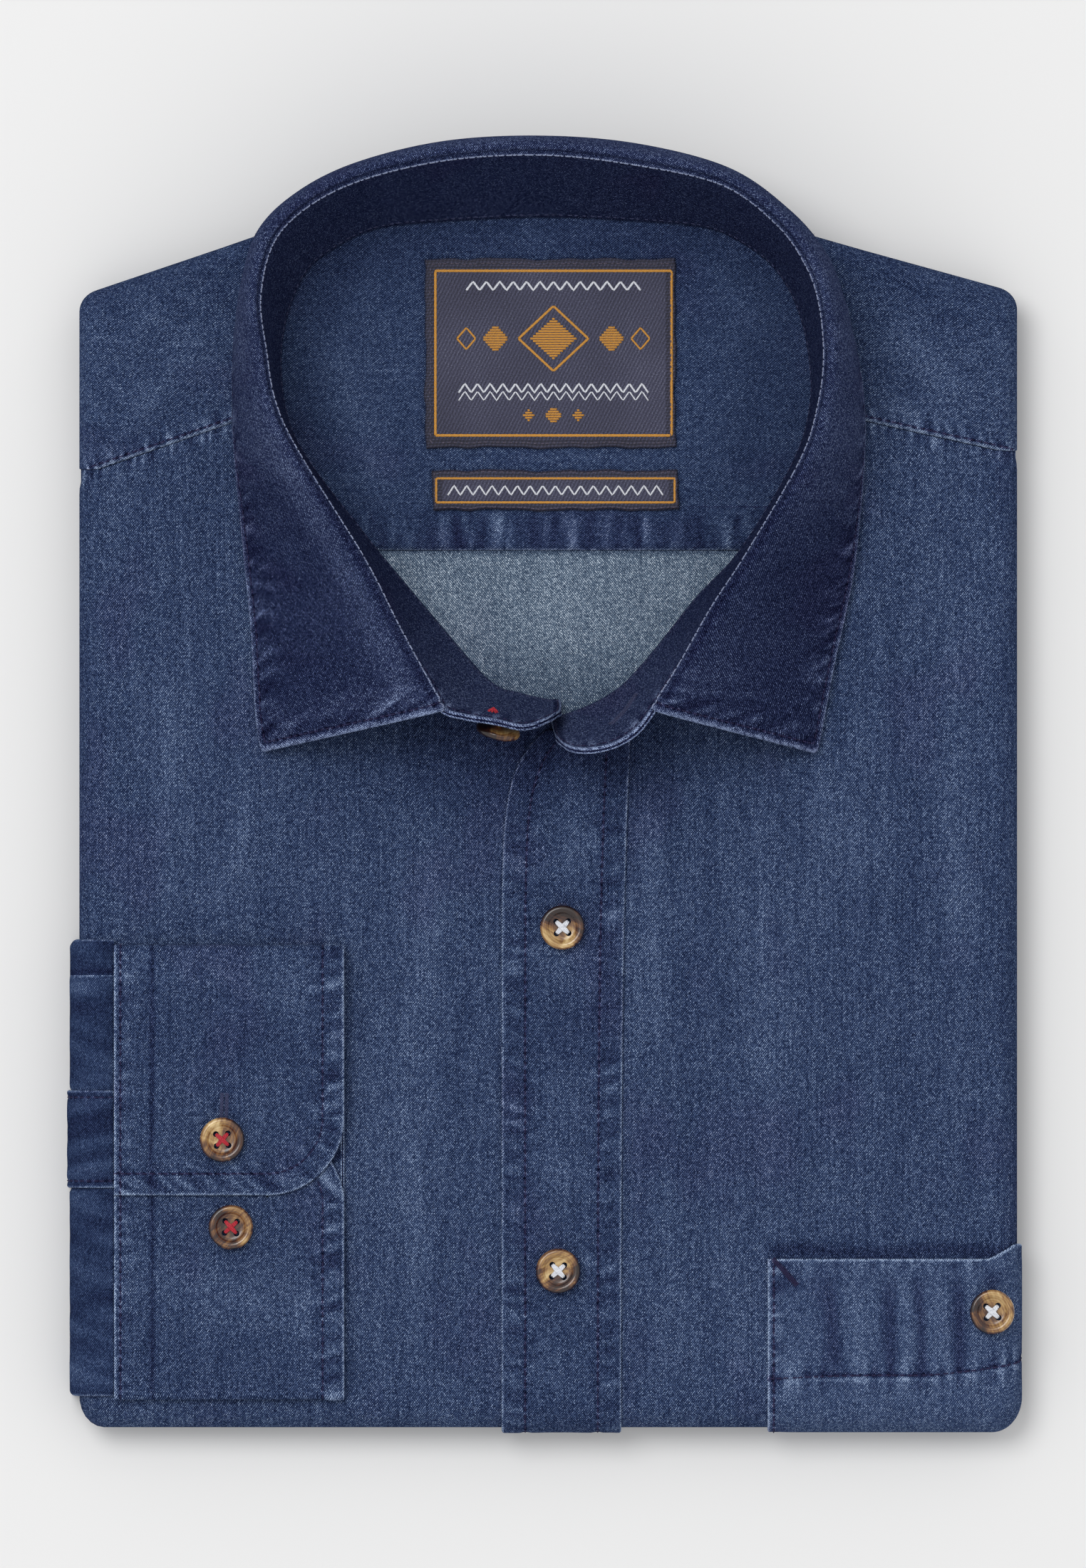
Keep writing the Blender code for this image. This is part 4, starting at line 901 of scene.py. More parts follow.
def build_leaf():
    rows = through(COLLAR, 22)
    near = [0.0, 0.1, 0.25, 0.45, 0.7]
    rows = np.array([*(mix(rows[0], rows[1], s) for s in near), *rows[1:-1],
                     *(mix(rows[-1], rows[-2], s) for s in near[::-1])])
    stand = stand_grid(rows, (0.0, 0.67, 1.0))
    top, hem = stand[:, 2], rows[:, 6:9]
    rising = unit(top - stand[:, 1])
    start = top + rising * (GAP + 0.1)
    reach = np.hypot(*(rows[:, 3:5] - rows[:, 6:8]).T)[:, None]
    share = smooth(reach / LEAF_DROP_REACH)
    away = unit((hem - top) * (1.0, 1.0, 0.0))
    foot = start + rising
    first = foot + rising * mix(6.0, 3.5, share)
    second = hem + away * mix(1.8, -12.0, share)
    second[:, 2] += mix(25.0, 11.0, share)[:, 0]
    last = [0.885, 0.908, 0.928, 0.945, 0.96, 0.972, 0.982, 0.99, 0.996, 1.0]
    t = np.concatenate([np.linspace(0, 0.86, 30), last])
    t = mix(t, t * t, 0.35)[None, :, None]
    u = 1.0 - t
    curve = (foot[:, None] * u**3 + first[:, None] * (3 * u * u * t)
             + second[:, None] * (3 * u * t * t) + hem[:, None] * t**3)
    lead = start[:, None] + (foot - start)[:, None] * np.array([0.0, 0.35, 0.7])[None, :, None]
    grid = round_corners(np.concatenate([lead, curve], 1), 1.7)

    uv = grid_uv(grid)
    along, down = uv[..., 0], uv[..., 1]
    from_hem = down[:, -1:] - down
    from_end = np.minimum(point_line(grid, grid[0]), point_line(grid, grid[-1]))
    edge = np.minimum(from_hem, from_end)
    pucker = wave(along - 0.5 * from_hem, 6.0, 4.6) * bell(edge - 4.2, 2.6)
    side = wave(along, 9.0, 7.0) * bell(edge - 7.0, 4.0)
    cord = 0.5 * bell(down - 0.6, 0.5) - 0.9 * bell(down - 1.6, 0.5)
    relief = 0.17 * pucker + 0.07 * side - 0.35 * bell(edge - LEAF_STITCH, 0.7) - round_over(edge, 1.1)
    normal = normals_of(grid)
    if np.sum(normal[:, 12, 2]) < 0:
        normal = -normal
    outer = grid + normal * (LEAF_WALL / 2 + (relief + 0.45 * cord))[..., None]
    # Painted highlight along the roll's crest, stronger on the left; lighter where the leaf is short at the
    # back; paler at the worn edge; painted shade in the groove beside the seam's cord.
    crest = bell(down - 7.0, 5.0) * smooth(down / 2.0)
    tone = crest * smooth((reach - 8.0) / 12.0) * (0.45 - 0.35 * smooth(outer[..., 0] / 20.0)) - 0.05
    tone += 0.4 * smooth((24.0 - reach) / 8.0) + 0.7 * bell(edge, 0.9)
    tone -= 0.6 * bell(down - 1.7, 0.5)
    worn = np.minimum(edge / 2.2, 0.35 + np.maximum(np.abs(down - 0.6) - 0.1, 0.0) / 0.45)
    phase = np.where(from_hem < from_end, along, np.where(along < 200.0, down, down + 1.0))
    mask = (worn, 0.85 * pucker + 0.45 * side, tone, edge - LEAF_STITCH)
    cloth("collar_leaf", outer, grid_uv(outer), mask, COLLAR_CLOTH, ["collar_stand"], slot="collar", wall=1.5,
          bulge=0.35, offset=(0.6, 0.9), seam=phase, rim=TURNED_RIM, cut=uv)
    sew("collar_edge_stitches", NAVY, "collar_leaf", [edge - LEAF_STITCH], pitch=1.7, length=1.2)
    sew("collar_seam_stitches", PALE, "collar_leaf", [down - 0.6], pitch=0.95, length=0.85, radius=0.2)


def round_corners(grid, radius):
    """Shortens the rows near both ends, so that their last points follow an arc."""
    made = grid.copy()
    for k in range(len(grid)):
        from_end = min(np.linalg.norm(grid[k, -1] - grid[end, -1]) for end in (0, -1))
        if from_end < radius:
            run = arc_lengths(grid[k])
            cut = radius - math.sqrt(radius**2 - (radius - from_end) ** 2)
            want = run * (run[-1] - 0.9 * cut) / run[-1]
            made[k] = sample(want, run, grid[k])
    return made


def point_line(grid, line):
    """Distance from every point of a grid to a polyline, in space."""
    best = np.full(grid.shape[:2], 1e9)
    for a, b in zip(line[:-1], line[1:]):
        d = b - a
        t = np.clip(((grid - a) @ d) / max(float(d @ d), TINY), 0, 1)
        best = np.minimum(best, np.linalg.norm(grid - a - t[..., None] * d, axis=2))
    return best


# ---------------------------------------------------------------- placket and pocket


def hem_pucker(along, edge, stitch_at, seed, period):
    """The ripple that a shrunken seam leaves between an edge and its stitching."""
    inside = bell(edge - 0.55 * stitch_at, 0.42 * stitch_at)
    outside = bell(edge - 1.35 * stitch_at, 0.3 * stitch_at)
    further = wave(along - 0.3 * edge, seed + 1.7, period * 1.2) * outside
    return wave(along + 0.25 * edge, seed, period) * inside + 0.5 * further


def build_placket():
    top = neck_line(len(COLLAR) - 2, len(COLLAR) + 4, PLACKET_CLEAR)[::-1]
    edge_y = PILE[0][1] - CORNER
    ys = np.concatenate([np.linspace(PLACKET_TOP, -30.0, 40), np.linspace(-30.0, edge_y, 118)[1:]])
    blend = np.interp(-ys, [-PLACKET_TOP, -8.0, 0.0, 12.0, 30.0], [1.0, 0.62, 0.30, 0.10, 0.0])
    left = PLACKET_LEFT + 11.2 * np.exp((ys - PLACKET_TOP) / 9.0)
    right = PLACKET_RIGHT + 2.8 * np.exp((ys - PLACKET_TOP) / 40.0)
    steps = fine_steps(PLACKET_RIGHT - PLACKET_LEFT)
    share = steps / steps[-1]
    x = mix(left[:, None], right[:, None], share[None])
    rise = np.interp(x, top[:, 0], top[:, 1]) - PLACKET_TOP
    y = ys[:, None] + blend[:, None] * rise
    angles = np.radians(np.linspace(0, 120, 14))[1:]
    ones = np.ones((len(angles), x.shape[1]))
    roll_x = x[-1] * ones
    radius = (END_ROLL + END_BEND) / 2 + LAYER_2 + SHELL
    flat_x = np.concatenate([x, roll_x])
    flat_y = np.concatenate([y, edge_y - (angles * radius)[:, None] * ones])
    width = np.concatenate([right - left, np.full(len(angles), (right - left)[-1])])[:, None]
    from_left, from_right = share[None] * width, (1 - share[None]) * width
    edge = np.minimum(from_left, from_right)
    on_left = from_left < from_right
    pucker = np.where(on_left, hem_pucker(flat_y, edge, BAND_STITCH, 11.0, 5.6),
                      hem_pucker(flat_y, edge, BAND_STITCH, 14.0, 6.4))
    pucker = pucker * smooth((PLACKET_TOP - 6.0 - flat_y) / 22.0)
    pucker *= 0.65 + 0.35 * wave(flat_y + 9.0 * on_left, 17.0, 23.0)
    folds = 0.3 * wave(flat_y, 21.0, 46.0) * bell(edge - 15.0, 7.0)
    relief = 0.16 * pucker - 0.3 * bell(edge - BAND_STITCH, 0.8) - round_over(edge, 0.75) + folds
    height = LAYER_2 + SHELL + relief
    rows = len(ys)
    flat = on_top(flat_x[:rows], flat_y[:rows], height[:rows])
    rolled = roll_point(roll_x, edge_y * ones, 0 * ones, -ones, angles[:, None] * ones, height[rows:])
    tone = front_shade(flat_x, flat_y) - 0.1 - 0.12 * smooth((9.0 - edge) / 3.0)
    mask = (edge / 0.85, 0.75 * pucker + 0.7 * folds, tone, edge - BAND_STITCH)
    cloth("front_placket", np.concatenate([flat, rolled]), np.stack([flat_x, flat_y], -1), mask, CHAMBRAY,
          ["right_front", "left_front"], wall=0.95, offset=(0.77, 0.05), seam=flat_y)
    sew("placket_stitches", NAVY, "front_placket", [from_left - BAND_STITCH, from_right - BAND_STITCH])


def build_pocket():
    right, bottom = PILE[0][0], PILE[0][1]
    height = LAYER_2 + INNER_WALL
    side_radius, end_radius = (SIDE_ROLL + SIDE_BEND) / 2 + height, (END_ROLL + END_BEND) / 2 + height
    angles = np.radians(np.linspace(0, 135, 16))
    width, deep = right - POCKET_LEFT, POCKET_TOP - bottom
    across, down = (fine_steps(length, 1.1, edge_last=False) for length in (width, deep))
    xs = np.concatenate([POCKET_LEFT + across, right + CORNER + angles * side_radius])
    ys = np.concatenate([POCKET_TOP - down, bottom - CORNER - angles * end_radius])
    px, py = np.meshgrid(xs, ys)
    past_x, past_y = np.maximum(px - right, 0), np.maximum(bottom - py, 0)
    both = (past_x > 0) & (past_y > 0)
    ring = np.maximum(past_x, past_y)
    turn = np.where(both, np.pi / 4 * np.minimum(past_x, past_y) / np.maximum(ring, TINY), 0.0)
    turn = np.where(past_x >= past_y, turn, np.pi / 2 - turn)
    nx, ny = np.cos(turn), -np.sin(turn)
    nx, ny = np.where(past_y == 0, 1.0, nx), np.where(past_y == 0, 0.0, ny)
    nx, ny = np.where(past_x == 0, 0.0, nx), np.where(past_x == 0, -1.0, ny)
    rise = POCKET_LIFT * np.clip(px - POCKET_LIFT_X, 0.0, 8.0)
    base_y = py + rise * smooth((py + 140.0) / 17.4)
    ex = np.where(past_x > 0, right, px) + CORNER * nx
    ey = np.where(past_y > 0, bottom, base_y) + CORNER * ny
    radius = np.where(past_x >= past_y, side_radius, end_radius)
    angle = np.maximum(ring - CORNER, 0.0) / radius
    stitch_y = -153.6 + 0.9 * np.sin((px - 58) / 60.0 * 3.0) + 0.02 * np.maximum(px - 95.0, 0) ** 1.6
    hem = np.abs(base_y - stitch_y)
    from_top, from_left = POCKET_TOP - py, px - POCKET_LEFT
    edge = np.minimum(from_top, from_left)
    folds = creases(px, py, POCKET_CREASES)
    pucker = wave(px, 31.0, 6.0) * bell(hem, 4.0) + 0.7 * wave(px, 33.0, 4.4) * bell(from_top - 2.0, 1.8)
    pucker += 0.8 * wave(py, 35.0, 5.2) * bell(from_left - 2.2, 1.8)
    relief = 0.28 * pucker + folds - 0.35 * bell(hem, 0.7) - round_over(edge, 0.65)
    total = height + relief
    flat = on_top(np.where(angle > 0, ex, px), np.where(angle > 0, ey, base_y), total)
    rolled = roll_point(ex, ey, nx, ny, angle, total)
    grid = np.where((ring > CORNER)[..., None], rolled, flat)
    tack = polyline_nearest(px, py, np.array([(59.6, -123.2), (65.4, -129.2)]))
    # Painted shade around the corner tack and in the dent above the button, a dark line of painted shade with
    # a painted highlight below it along the stitching, and painted shade in the folds' hollows.
    tone = -0.05 - 0.7 * bell(tack, 1.3) - 0.5 * bell(px - 61.5, 2.6) * bell(py + 129.5, 2.6)
    tone -= 0.7 * bell(px - 116.0, 2.2) * bell(py + 129.3, 2.4)
    tone += 0.7 * bell(base_y - stitch_y + 0.9, 0.5) - 0.8 * bell(base_y - stitch_y - 0.2, 0.6)
    crease = 0.7 * pucker + 1.8 * np.minimum(folds, 0.0) + 0.5 * np.maximum(folds, 0.0)
    mask = (edge, crease, tone, np.minimum(hem, np.abs(from_left - POCKET_STITCH)))
    cloth("pocket", grid, np.stack([px, base_y], -1), mask, POCKET_CLOTH, ["left_front"], offset=(0.13, 0.33),
          seam=np.where(hem < 2.0, px, py))
    sew("pocket_stitches", NAVY, "pocket", [base_y - stitch_y, from_left - POCKET_STITCH], radius=0.2)


POCKET_CREASES = [
    (73.4, -124, 74.0, -158, 2.6, -0.5), (78.5, -126, 79.5, -156, 3.0, 0.35),
    (88.9, -124, 88.0, -158, 2.4, -0.45), (93.0, -126, 93.5, -156, 2.2, 0.4),
    (96.0, -123, 96.5, -158, 1.8, -0.5), (101.0, -126, 100.5, -157, 2.6, 0.35),
    (106.7, -123, 106.0, -158, 2.0, -0.5), (111.0, -122, 110.0, -150, 2.0, 0.3),
]


# ---------------------------------------------------------------- sleeve and cuff


def side_grid(ys, start_x, height, relief):
    """Across the flat top to the left fold, round it and down the side, for every y."""
    edge_x = PILE[-1][0] - CORNER
    flat = np.linspace(start_x, edge_x, 5)
    angles = np.radians(np.linspace(0, 90, 13))[1:]
    falls = np.linspace(0, 1, 8)[1:]
    radius = (SIDE_ROLL + SIDE_BEND) / 2 + height
    run = np.concatenate([start_x - flat, (start_x - edge_x) + angles * radius,
                          (start_x - edge_x) + math.pi / 2 * radius + falls * 10.0])
    across, y = np.meshgrid(run, ys)
    height = height + relief(y, across)
    level, bent = slice(0, len(flat)), slice(len(flat), len(flat) + len(angles))
    top = on_top(np.broadcast_to(flat, (len(ys), len(flat))), y[:, level], height[:, level])
    ones = np.ones((len(ys), len(angles)))
    rolled = roll_point(edge_x * ones, y[:, bent], -ones, 0 * ones, angles * ones, height[:, bent])
    last = rolled[:, -1:]
    side = np.concatenate([np.broadcast_to(last[..., :2], (len(ys), len(falls), 2)),
                           mix(last[..., 2:], SLEEVE_FOOT, falls[None, :, None])], -1)
    return np.concatenate([top, rolled, side], 1), y, across


def sleeve_relief(y, across):
    """The sleeve's ripples, its fold and the place pressed flat under the sleeve placket."""
    fold = y - SLEEVE_FOLD_Y + SLEEVE_FOLD_SLOPE * across
    calm = 1.0 - 0.85 * smooth((across - 8.0) / 4.0)
    step = -0.5 * smooth((fold + 0.4) / 0.8) * smooth((12.0 - fold) / 8.0) * calm
    ripple = 0.24 * wave(y + 0.15 * across, 41.0, 15.0)
    ripple = ripple + 0.2 * wave(y - 0.3 * across, 44.0, 9.0) * smooth(across / 4.0)
    pressed = 0.45 * smooth((GAUNTLET_TOP_Y + 1.0 - y) / 0.8) * smooth((y - GAUNTLET_BOTTOM_Y + 1.0) / 0.8)
    relief = ripple * calm + step - pressed - 0.35 * calm * bell(fold, 0.7)
    return relief - round_over(SLEEVE_TOP_Y - y, 1.6) - round_over(y - SLEEVE_BOTTOM_Y, 1.6)


def gauntlet_relief(y, across):
    from_end = np.minimum(GAUNTLET_TOP_Y - y, y - GAUNTLET_BOTTOM_Y)
    ripple = 0.1 * wave(y + 0.2 * across, 51.0, 8.0)
    return ripple - round_over(from_end, 0.6) - 0.25 * bell(from_end - GAUNTLET_STITCH, 0.6)


def build_sleeve():
    ys = SLEEVE_TOP_Y - fine_steps(SLEEVE_TOP_Y - SLEEVE_BOTTOM_Y, 0.9)
    grid, y, across = side_grid(ys, CUFF_SEAM_X - GAP, LAYER_2 + SLEEVE_WALL, sleeve_relief)
    inset = 2.6 * (1.0 - np.sqrt(1.0 - np.clip(1.0 - (SLEEVE_TOP_Y - y) / 5.5, 0.0, 1.0) ** 2))
    grid[..., 0] = np.maximum(grid[..., 0], SLEEVE_EDGE_X + inset)
    fold = y - SLEEVE_FOLD_Y + SLEEVE_FOLD_SLOPE * across
    from_end = np.minimum(SLEEVE_TOP_Y - y, y - SLEEVE_BOTTOM_Y)
    edge = np.minimum(from_end, np.where(fold < 0.3, np.abs(fold), FAR))
    crease = wave(y - 0.3 * across, 44.0, 9.0) * 0.5 + 0.6 * wave(y + 0.15 * across, 41.0, 15.0)
    # Painted shade below the sleeve's fold.
    crease -= 1.6 * bell(fold - 0.8, 0.9)
    cloth("right_sleeve", grid, np.stack([-across, y], -1), (edge / 0.9, 0.6 * crease, -0.15, FAR),
          SLEEVE_CLOTH, ["right_front"], wall=1.1, up=(-1, 0, 1), bulge=0.5, offset=(0.5, 0.2))

    ys = GAUNTLET_TOP_Y - fine_steps(GAUNTLET_TOP_Y - GAUNTLET_BOTTOM_Y, 0.9)
    grid, y, across = side_grid(ys, CUFF_SEAM_X - GAP, GAUNTLET_LAYER + SHELL - 0.85, gauntlet_relief)
    from_end = np.minimum(GAUNTLET_TOP_Y - y, y - GAUNTLET_BOTTOM_Y)
    mask = (from_end / 0.9, 0.5 * wave(y + 0.2 * across, 51.0, 8.0), -0.2, from_end - GAUNTLET_STITCH)
    cloth("sleeve_placket", grid, np.stack([-across, y], -1), mask, SLEEVE_CLOTH, ["right_sleeve"],
          wall=0.45, up=(-1, 0, 1), offset=(0.52, 0.5), seam=across)
    sew("sleeve_placket_stitches", NAVY, "sleeve_placket", [from_end - GAUNTLET_STITCH])


def build_cuff():
    low = LAYER_2 + CUFF_WALL / 2
    middle = LAYER_2 + 2 * CUFF_WALL + GAP - CUFF_WALL / 2
    high = LAYER_2 + 3 * CUFF_WALL + 2 * GAP - CUFF_WALL / 2
    top_bend, bottom_bend = (high - low) / 2, (middle - low) / 2
    top_y = CUFF_TOP_Y - top_bend - CUFF_WALL / 2
    bottom_y = CUFF_BOTTOM_Y + bottom_bend + CUFF_WALL / 2
    corner = fine_steps(CUFF_CORNER, 1.0, edge_last=False)
    path = [(CUFF_OVERLAP_Y + d, high, d) for d in corner]
    count = round((top_y - path[-1][0]) / 1.1)
    path += [(mix(path[-1][0], top_y, k / count), high, FAR) for k in range(1, count + 1)]
    for turn in np.radians(np.linspace(90, -90, 15))[1:]:
        path.append((top_y + top_bend * math.cos(turn), low + top_bend * (1 + math.sin(turn)), FAR))
    path += [(mix(top_y, bottom_y, k / 50), low, FAR) for k in range(1, 51)]
    for turn in np.radians(np.linspace(-90, 90, 11))[1:]:
        path.append((bottom_y - bottom_bend * math.cos(turn), low + bottom_bend * (1 + math.sin(turn)), FAR))
    end = CUFF_UNDERLAP_Y
    count = round((end - CUFF_CORNER - bottom_y) / 1.1)
    path += [(mix(bottom_y, end - CUFF_CORNER, k / count), middle, FAR) for k in range(1, count + 1)]
    path += [(end - d, middle, d) for d in corner[-2::-1]]
    path = np.array(path)
    y, height, from_end = path.T[..., None]
    short = np.maximum(CUFF_CORNER - from_end, 0.0)
    hem = CUFF_HEM_X - (CUFF_CORNER - np.sqrt(CUFF_CORNER**2 - short**2))
    steps = fine_steps(CUFF_HEM_X - CUFF_SEAM_X, 1.1)
    share = steps / steps[-1]
    x = mix(CUFF_SEAM_X, hem, share[None])
    centre = CUFF_HEM_X - CUFF_CORNER
    in_corner = (x > centre) & (from_end < CUFF_CORNER)
    edge = np.where(in_corner, CUFF_CORNER - np.hypot(x - centre, CUFF_CORNER - from_end),
                    np.minimum(CUFF_HEM_X - x, np.broadcast_to(from_end, x.shape)))
    edge = np.maximum(edge, 0.0)
    seam = x - CUFF_SEAM_X
    run = arc_lengths(path[:, :2])[:, None]
    around = np.where(from_end < 30.0, x + run, run) * np.ones_like(x)
    pucker = hem_pucker(around, edge, CUFF_STITCH, 61.0, 6.2)
    pucker += 0.6 * wave(run * np.ones_like(x), 66.0, 6.0) * bell(seam - 3.0, 2.0)
    folds = 0.2 * wave(run + 0.2 * x, 71.0, 52.0) * smooth(edge / 14.0)
    relief = 0.2 * pucker - 0.3 * bell(edge - CUFF_STITCH, 0.8) + folds * 0.6
    relief -= round_over(np.minimum(edge, seam), 0.6)
    grid = on_top(x, y * np.ones_like(x), height * np.ones_like(x))
    normal = normals_of(grid)
    if normal[4, 8, 2] < 0:
        normal = -normal
    outer = grid + normal * (CUFF_WALL / 2 + relief)[..., None]
    # Painted shade in a dark line along the cuff's crease.
    tone = -0.06 - 0.08 * smooth((9.0 - edge) / 3.0) - 0.9 * bell(seam - CUFF_CREASE, 0.5)
    mask = (np.minimum(edge, seam) / 0.95, 0.9 * pucker + 0.7 * folds, tone,
            np.minimum(np.abs(edge - CUFF_STITCH), np.abs(seam - CUFF_SEAM_STITCH)))
    cloth("right_cuff", outer, np.stack([x, np.broadcast_to(run, x.shape)], -1), mask, CHAMBRAY,
          ["right_front"], wall=1.15, up=None, bulge=0.3, offset=(0.22, 0.81), seam=around, rim=TURNED_RIM)
    sew("cuff_stitches", NAVY, "right_cuff", [edge - CUFF_STITCH, seam - CUFF_SEAM_STITCH])


# ---------------------------------------------------------------- the hidden layers


# A fold edge's layers from the top down, at the sides and at the tail: high, low, reach.
SIDE_LAYERS = [(17.0, 8.0, 1.00), (7.4, 5.0, 0.92), (4.6, 2.2, 0.98), (1.8, 0.0, 0.80)]
END_LAYERS = [(17.0, 6.0, 1.00), (5.5, 3.8, 0.85), (3.4, 1.8, 0.95), (1.5, 0.0, 0.75)]


def build_layers():
    """The pile as one solid: its edge is a stack of rounded folds, each split by a cloth's groove."""
    count = round(OUTLINE_LENGTH / 2.0)
    weight = np.arange(count) * OUTLINE_LENGTH / count
    edge = outline_at(weight)
    ex, ey, nx, ny = (edge[:, k][:, None] for k in range(4))
    share = smooth(-ny)
    roll_y = np.where(ny < 0, END_ROLL, BACK_ROLL)
    drop = PILE_TOP - pile_height(ex, ey)
    columns = []
    for number, (side, end) in enumerate(zip(SIDE_LAYERS, END_LAYERS)):
        high, low, reach = (mix(a, b, share) for a, b in zip(side, end))
        high, low = high - drop * high / PILE_TOP, low - drop * low / PILE_TOP
        reach = reach * (1.0 if number == 0 else 1.0 - 0.06 * (1 + wave(weight[:, None], 5.0 + number, 70.0)))
        turns = np.radians(np.linspace(0, 180, 21 if number == 0 else 13))
        inner = np.where((number == 0) & (turns <= math.radians(135)), 0.0, 0.30)[None]
        out = inner + (reach - inner) * np.sin(turns)[None]
        z = (high + low) / 2 + (high - low) / 2 * np.cos(turns)[None]
        if number:
            out = out - 0.07 * bell(z - (high + low) / 2, 0.16)
        columns.append(np.stack([ex + nx * SIDE_ROLL * out, ey + ny * roll_y * out, z], -1))
    side = np.concatenate(columns, 1).swapaxes(0, 1)
    crown = [on_pile(*(edge[:, :2] * share).T, 0.0) for share in (0.25, 0.5, 0.75, 0.9, 0.97)]
    floor = [np.pad(edge[:, :2] * share, ((0, 0), (0, 1))) for share in (0.9, 0.5)]
    grid = np.array([*crown, *side, *floor])
    count, around = grid.shape[:2]
    points = np.concatenate([grid.reshape(-1, 3), [(0, 0, PILE_TOP), (0, 0, 0)]])
    index = np.arange(count * around).reshape(count, around)
    following = np.roll(index, -1, axis=1)
    quads = np.stack([index[:-1], index[1:], following[1:], following[:-1]], -1).reshape(-1, 4).tolist()
    top, under = count * around, count * around + 1
    quads += [(top, int(a), int(b)) for a, b in zip(index[0], following[0])]
    quads += [(under, int(b), int(a)) for a, b in zip(index[-1], following[-1])]
    mesh = build_mesh("folded_layers_cloth", points, quads)
    steps = np.linalg.norm(np.diff(grid, axis=0), axis=2).mean(1)
    down = np.repeat(np.concatenate([[0], np.cumsum(steps)]), around)
    uv = np.concatenate([np.stack([np.tile(weight, count), down], 1), [(0, 0), (0, 0)]]) * MM
    set_places(mesh, uv)
    level = np.concatenate([np.tile(0.4 * wave(weight, 3.0, 60.0), count), [0, 0]])
    beyond = np.full(len(points), FAR)
    # Painted shade on the lower layers, under the top fold.
    set_values(mesh, "mask", "FLOAT_COLOR", "color",
               np.stack([beyond, level, -0.3 * (points[:, 2] < 8.0), beyond], -1))
    mesh.update()
    add_object("folded_layers_cloth", mesh, UNDER_LAYERS, ["folded_layers"])


# ---------------------------------------------------------------- sewing


def contour(field):
    """Zero lines of a field on a grid, as chains of part rows and columns."""
    sign = field > 0
    a, b, c, d = sign[:-1, :-1], sign[:-1, 1:], sign[1:, 1:], sign[1:, :-1]
    mixed = (a != c) | (b != d) | (a != b)
    links = {}
    for row, column in zip(*np.nonzero(mixed)):
        row, column = int(row), int(column)
        corners = [(row, column), (row, column + 1), (row + 1, column + 1), (row + 1, column)]
        sides = zip(corners, corners[1:] + corners[:1])
        found = [tuple(sorted((a, b))) for a, b in sides if sign[a] != sign[b]]
        for a, b in zip(found[::2], found[1::2]):
            links.setdefault(a, []).append(b)
            links.setdefault(b, []).append(a)
    chains, seen = [], set()
    for start in sorted(links, key=lambda key: (len(links[key]) != 1, key)):
        if start in seen:
            continue
        chain, at = [], start
        while at is not None:
            seen.add(at)
            a, b = at
            share = field[a] / (field[a] - field[b])
            chain.append((mix(a[0], b[0], share), mix(a[1], b[1], share)))
            at = next((near for near in links[at] if near not in seen), None)
        if len(chain) > 3:
            chains.append(np.array(chain))
    return chains


def at_parts(grid, spots):
    """A grid's values at part rows and columns."""
    low = np.minimum(np.floor(spots).astype(int), np.array(grid.shape[:2]) - 2)
    fr, fc = (spots - low).T
    shape = (-1,) + (1,) * (grid.ndim - 2)
    fr, fc = fr.reshape(shape), fc.reshape(shape)
    r, c = low.T
    return mix(mix(grid[r, c], grid[r, c + 1], fc), mix(grid[r + 1, c], grid[r + 1, c + 1], fc), fr)


def sew(name, material, piece, fields, allowed=None, pitch=1.9, length=1.35, radius=0.15, both_sides=0.0):
    """Stitches along the zero lines of fields on a piece's face, sunk at both ends.

    With both_sides, the piece's wall, they show on its back as well.
    """
    top, normal, slot = GRIDS[piece]
    points, faces = [], []
    sides = [(top, normal)]
    if both_sides:
        sides.append((top - normal * both_sides, -normal))
    for field in fields:
        for chain in contour(np.broadcast_to(field, top.shape[:2])):
            free = np.ones(len(chain)) if allowed is None else at_parts(allowed.astype(float), chain)
            for face, out in sides:
                line, away = at_parts(face, chain), at_parts(out, chain)
                run = arc_lengths(line)
                for k in range(int(run[-1] / pitch)):
                    start = k * pitch + 0.2 * math.sin(k * 2.4)
                    reach = length * (1.0 + 0.15 * math.sin(k * 1.7))
                    want = start + np.array([0.0, 0.22, 0.78, 1.0]) * reach
                    if want[-1] > run[-1] or np.interp(start, run, free) < 0.5:
                        continue
                    rise = (np.array([-0.1, 0.09, 0.09, -0.1]) * radius / 0.15)[:, None]
                    tube(points, faces, sample(want, run, line) + sample(want, run, away) * rise, radius, 5)
    threads(name, points, faces, material)


def threads(name, points, faces, material, placed=None):
    mesh = build_mesh(name, points, faces)
    if placed is not None:
        mesh.transform(placed)
    points = np.empty(len(mesh.vertices) * 3, np.float32)
    mesh.vertices.foreach_get("co", points)
    points = points.reshape(-1, 3)
    set_places(mesh, points[:, :2] + points[:, 2:] * 0.7)
    add_object(name, mesh, material)


def height_on(piece, x, y):
    """The height of a piece's upper face over a place."""
    points = GRIDS[piece][0].reshape(-1, 3)
    away = (points[:, 0] - x) ** 2 + (points[:, 1] - y) ** 2
    near, away = points[away < 4.0], away[away < 4.0]
    keep = near[:, 2] > near[:, 2].max() - 1.0
    weight = 1.0 / (away[keep] + 0.02)
    return float(np.sum(near[keep, 2] * weight) / np.sum(weight))


def worked(points, faces, line, out, wide, slit, radius=0.17, step=0.36):
    """Close bars of thread across a line: both sides of a slit, or one solid tack."""
    run = arc_lengths(line)
    for k in range(int(run[-1] / step) + 1):
        spot, lift = sample(k * step, run, line), sample(k * step, run, out)
        near = sample(min(k * step + 0.3, run[-1]), run, line)
        back = sample(max(k * step - 0.3, 0.0), run, line)
        way = unit(near - back)
        across = unit(np.cross(lift, way))
        half = wide / 2 * (1.0 + 0.1 * math.sin(k * 2.1))
        spans = [(-half, half)] if slit == 0.0 else [(-half, -slit), (slit, half)]
        for a, b in spans:
            path = [spot + across * mix(a, b, t) + lift * h + way * 0.1 * (t - 0.5)
                    for t, h in ((0.0, -0.1), (0.2, 0.12), (0.8, 0.12), (1.0, -0.1))]
            tube(points, faces, path, radius, 5)


